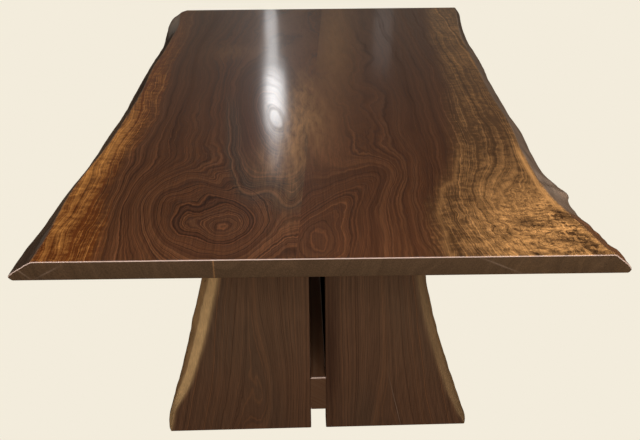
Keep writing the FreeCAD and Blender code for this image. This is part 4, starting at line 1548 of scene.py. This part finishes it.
class TABLE_OT_top_boards(TableOperator):
    """Replaces the two boards of the top by figured walnut with natural edges"""

    bl_idname = "table.top_boards"
    bl_label = "Top boards"

    def execute(self, context):
        shape, wood = self.settings(context)
        left_parts = (left_growth, left_zones, left_sap, left_rim)
        right_parts = (right_growth, right_zones, right_sap, right_rim)
        left = board_walnut("walnut_board_left", wood, LEFT_CRISPNESS, *left_parts)
        right = board_walnut("walnut_board_right", wood, RIGHT_CRISPNESS, *right_parts)
        boards = (
            ("board_left", "top_board_left", -ACROSS, left, live_ripples(shape, LEFT_SEED)),
            ("board_right", "top_board_right", ACROSS, right, lumpy_ripples(shape, RIGHT_SEED)),
        )
        for name, node, out, material, relief in boards:
            slab = Slab(node, ALONG, out, UP)
            arrises = (shape.rim_arris, shape.end_arris, 0.0)
            mesh = slab_mesh(name, slab, shape.board_step, *arrises, relief)
            mesh = carved(mesh, "DIFFERENCE", grown_copy("seam_splines", shape.fit_gap))
            mesh = carved(mesh, "DIFFERENCE", self.insert_holes(shape))
            piece_from(name, mesh, material, "walnut_top", node)
        return {"FINISHED"}

    @staticmethod
    def insert_holes(shape):
        """Cutters for the threaded inserts over both battens."""
        low, high = islands("near_top_inserts")[0]
        places = middles("near_top_inserts") + middles("far_top_inserts")
        for place in places:
            place.z = UNDERSIDE
        depth = high.z - low.z + shape.blind_room
        return bores(places, UP, (high.x - low.x) / 2, -shape.glue_room, depth)


class TABLE_OT_planks(TableOperator):
    """Replaces the four upright planks by walnut with natural outer edges"""

    bl_idname = "table.planks"
    bl_label = "Planks"

    def execute(self, context):
        shape, wood = self.settings(context)
        for number, (node, (face, out, middle, pale)) in enumerate(PLANKS.items()):
            slab = Slab(node, UP, out, face, SHOULDER)
            material = plank_walnut("walnut_" + node, wood, middle, pale)
            relief = live_ripples(shape, FIRST_PLANK_SEED + number * 3, shape.plank_ripple)
            arrises = (shape.rim_arris, shape.foot_arris, shape.gap_arris)
            mesh = slab_mesh(node + "_walnut", slab, shape.plank_step, *arrises, relief)
            mesh = self.with_tenon(mesh, shape, node.split("_")[0], out.x)
            piece_from(node + "_walnut", mesh, material, "walnut_planks", node)
        return {"FINISHED"}

    @staticmethod
    def with_tenon(mesh, shape, end, hand):
        """A plank's mesh with its stub tenon, its peg hole and its dowel holes. The end is the
        pedestal's, and the hand is 1 on the right and -1 on the left."""
        pegs = [middle for middle in middles(end + "_cleat_pegs") if middle.x * hand > 0]
        half = Vector((shape.tenon_width, shape.tenon_thickness, 0)) / 2
        base = Vector((pegs[0].x, pegs[0].y, SHOULDER))
        low = base - half - UP * shape.glue_room
        high = base + half + UP * shape.tenon_height
        mesh = carved(mesh, "UNION", box_mesh(low, high, shape.pin_chamfer))
        low, high = islands(end + "_cleat_pegs")[0]
        reach = high.y - low.y
        radius = (high.z - low.z) / 2
        mesh = carved(mesh, "DIFFERENCE", bores(pegs, ALONG, radius, -reach, reach))
        dowels = end + "_stretcher_dowels"
        low, high = islands(dowels)[0]
        reach = (high.x - low.x) / 2 + shape.glue_room
        radius = (high.z - low.z) / 2
        return carved(mesh, "DIFFERENCE", bores(middles(dowels), ACROSS, radius, -reach, reach))


class TABLE_OT_frame(TableOperator):
    """Eases the edges of the stretcher and the battens and finishes them in walnut"""

    bl_idname = "table.frame"
    bl_label = "Stretcher and battens"

    def execute(self, context):
        shape, wood = self.settings(context)
        # The stretcher gets a painted highlight on its upper end arris.
        rail = straight_timber(
            "walnut_stretcher", wood.stretcher, wood.heart, grain=1, lacquer=0.4, arris=wood.arris
        )
        batten = straight_timber("walnut_batten", wood.plank, wood.heart_dark, grain=0, lacquer=0.2)
        for node, material in (("stretcher", rail), ("near_cleat", batten), ("far_cleat", batten)):
            mesh = eased_copy(node + "_walnut", node, shape.batten_arris)
            piece_from(node + "_walnut", mesh, material, "walnut_frame", node)
        return {"FINISHED"}


class TABLE_OT_joinery(TableOperator):
    """Makes the pegs, dowels and splines in hardwood"""

    bl_idname = "table.joinery"
    bl_label = "Pegs, dowels and splines"

    def execute(self, context):
        shape, wood = self.settings(context)
        pegs = straight_timber("hardwood_pegs", wood.peg, wood.heart, grain=1)
        dowels = straight_timber("hardwood_dowels", wood.peg, wood.heart, grain=0)
        splines = straight_timber("hardwood_splines", wood.peg, wood.heart, grain=1)
        for end in ("near", "far"):
            node = end + "_cleat_pegs"
            mesh = pin_mesh(end + "_pegs", node, ALONG, shape)
            piece_from(end + "_pegs", mesh, pegs, "hardwood", node)
            node = end + "_stretcher_dowels"
            mesh = pin_mesh(end + "_dowels", node, ACROSS, shape, fluted=True)
            piece_from(end + "_dowels", mesh, dowels, "hardwood", node)
        mesh = eased_copy("splines", "seam_splines", shape.pin_chamfer)
        piece_from("splines", mesh, splines, "hardwood", "seam_splines")
        return {"FINISHED"}


class TABLE_OT_fasteners(TableOperator):
    """Makes the bolts, washers and threaded inserts in metal"""

    bl_idname = "table.fasteners"
    bl_label = "Bolts, washers and inserts"

    def execute(self, context):
        shape, wood = self.settings(context)
        zinc = machined_metal("zinc_steel", wood.zinc, blur=0.32)
        brass = machined_metal("brass", wood.brass, blur=0.28)
        kinds = (
            ("bolts", "cleat_bolts", bolt_mesh, zinc, "zinc_steel"),
            ("washers", "cleat_washers", washer_mesh, zinc, "zinc_steel"),
            ("inserts", "top_inserts", insert_mesh, brass, "brass"),
        )
        for end in ("near", "far"):
            for kind, group, make, material, slot in kinds:
                node = f"{end}_{group}"
                name = f"{end}_{kind}"
                piece_from(name, make(name, node, shape), material, slot, node)
        return {"FINISHED"}


OPERATORS = (
    TABLE_OT_stage,
    TABLE_OT_top_boards,
    TABLE_OT_planks,
    TABLE_OT_frame,
    TABLE_OT_joinery,
    TABLE_OT_fasteners,
)
SETTINGS = {"table_shape": TableShape, "table_wood": TableWood, "table_stage": TableStage}


class VIEW3D_PT_table(bpy.types.Panel):
    """Lists the operators and the settings"""

    bl_label = "Live-edge table"
    bl_space_type = "VIEW_3D"
    bl_region_type = "UI"
    bl_category = "Table"

    def draw(self, context):
        for operator in OPERATORS:
            self.layout.operator(operator.bl_idname)
        for name, group in SETTINGS.items():
            box = self.layout.box()
            for setting in group.__annotations__:
                box.prop(getattr(context.scene, name), setting)


def register():
    """Registers the settings, the operators and the panel."""
    for name, group in SETTINGS.items():
        bpy.utils.register_class(group)
        setattr(bpy.types.Scene, name, bpy.props.PointerProperty(type=group))
    for kind in OPERATORS + (VIEW3D_PT_table,):
        bpy.utils.register_class(kind)


def unregister():
    """Takes the panel, the operators and the settings out again."""
    for kind in reversed(OPERATORS + (VIEW3D_PT_table,)):
        bpy.utils.unregister_class(kind)
    for name, group in SETTINGS.items():
        delattr(bpy.types.Scene, name)
        bpy.utils.unregister_class(group)


def main():
    register()
    bpy.ops.table.stage()
    bpy.ops.table.top_boards()
    bpy.ops.table.planks()
    bpy.ops.table.frame()
    bpy.ops.table.joinery()
    bpy.ops.table.fasteners()


if __name__ == "__main__":
    main()
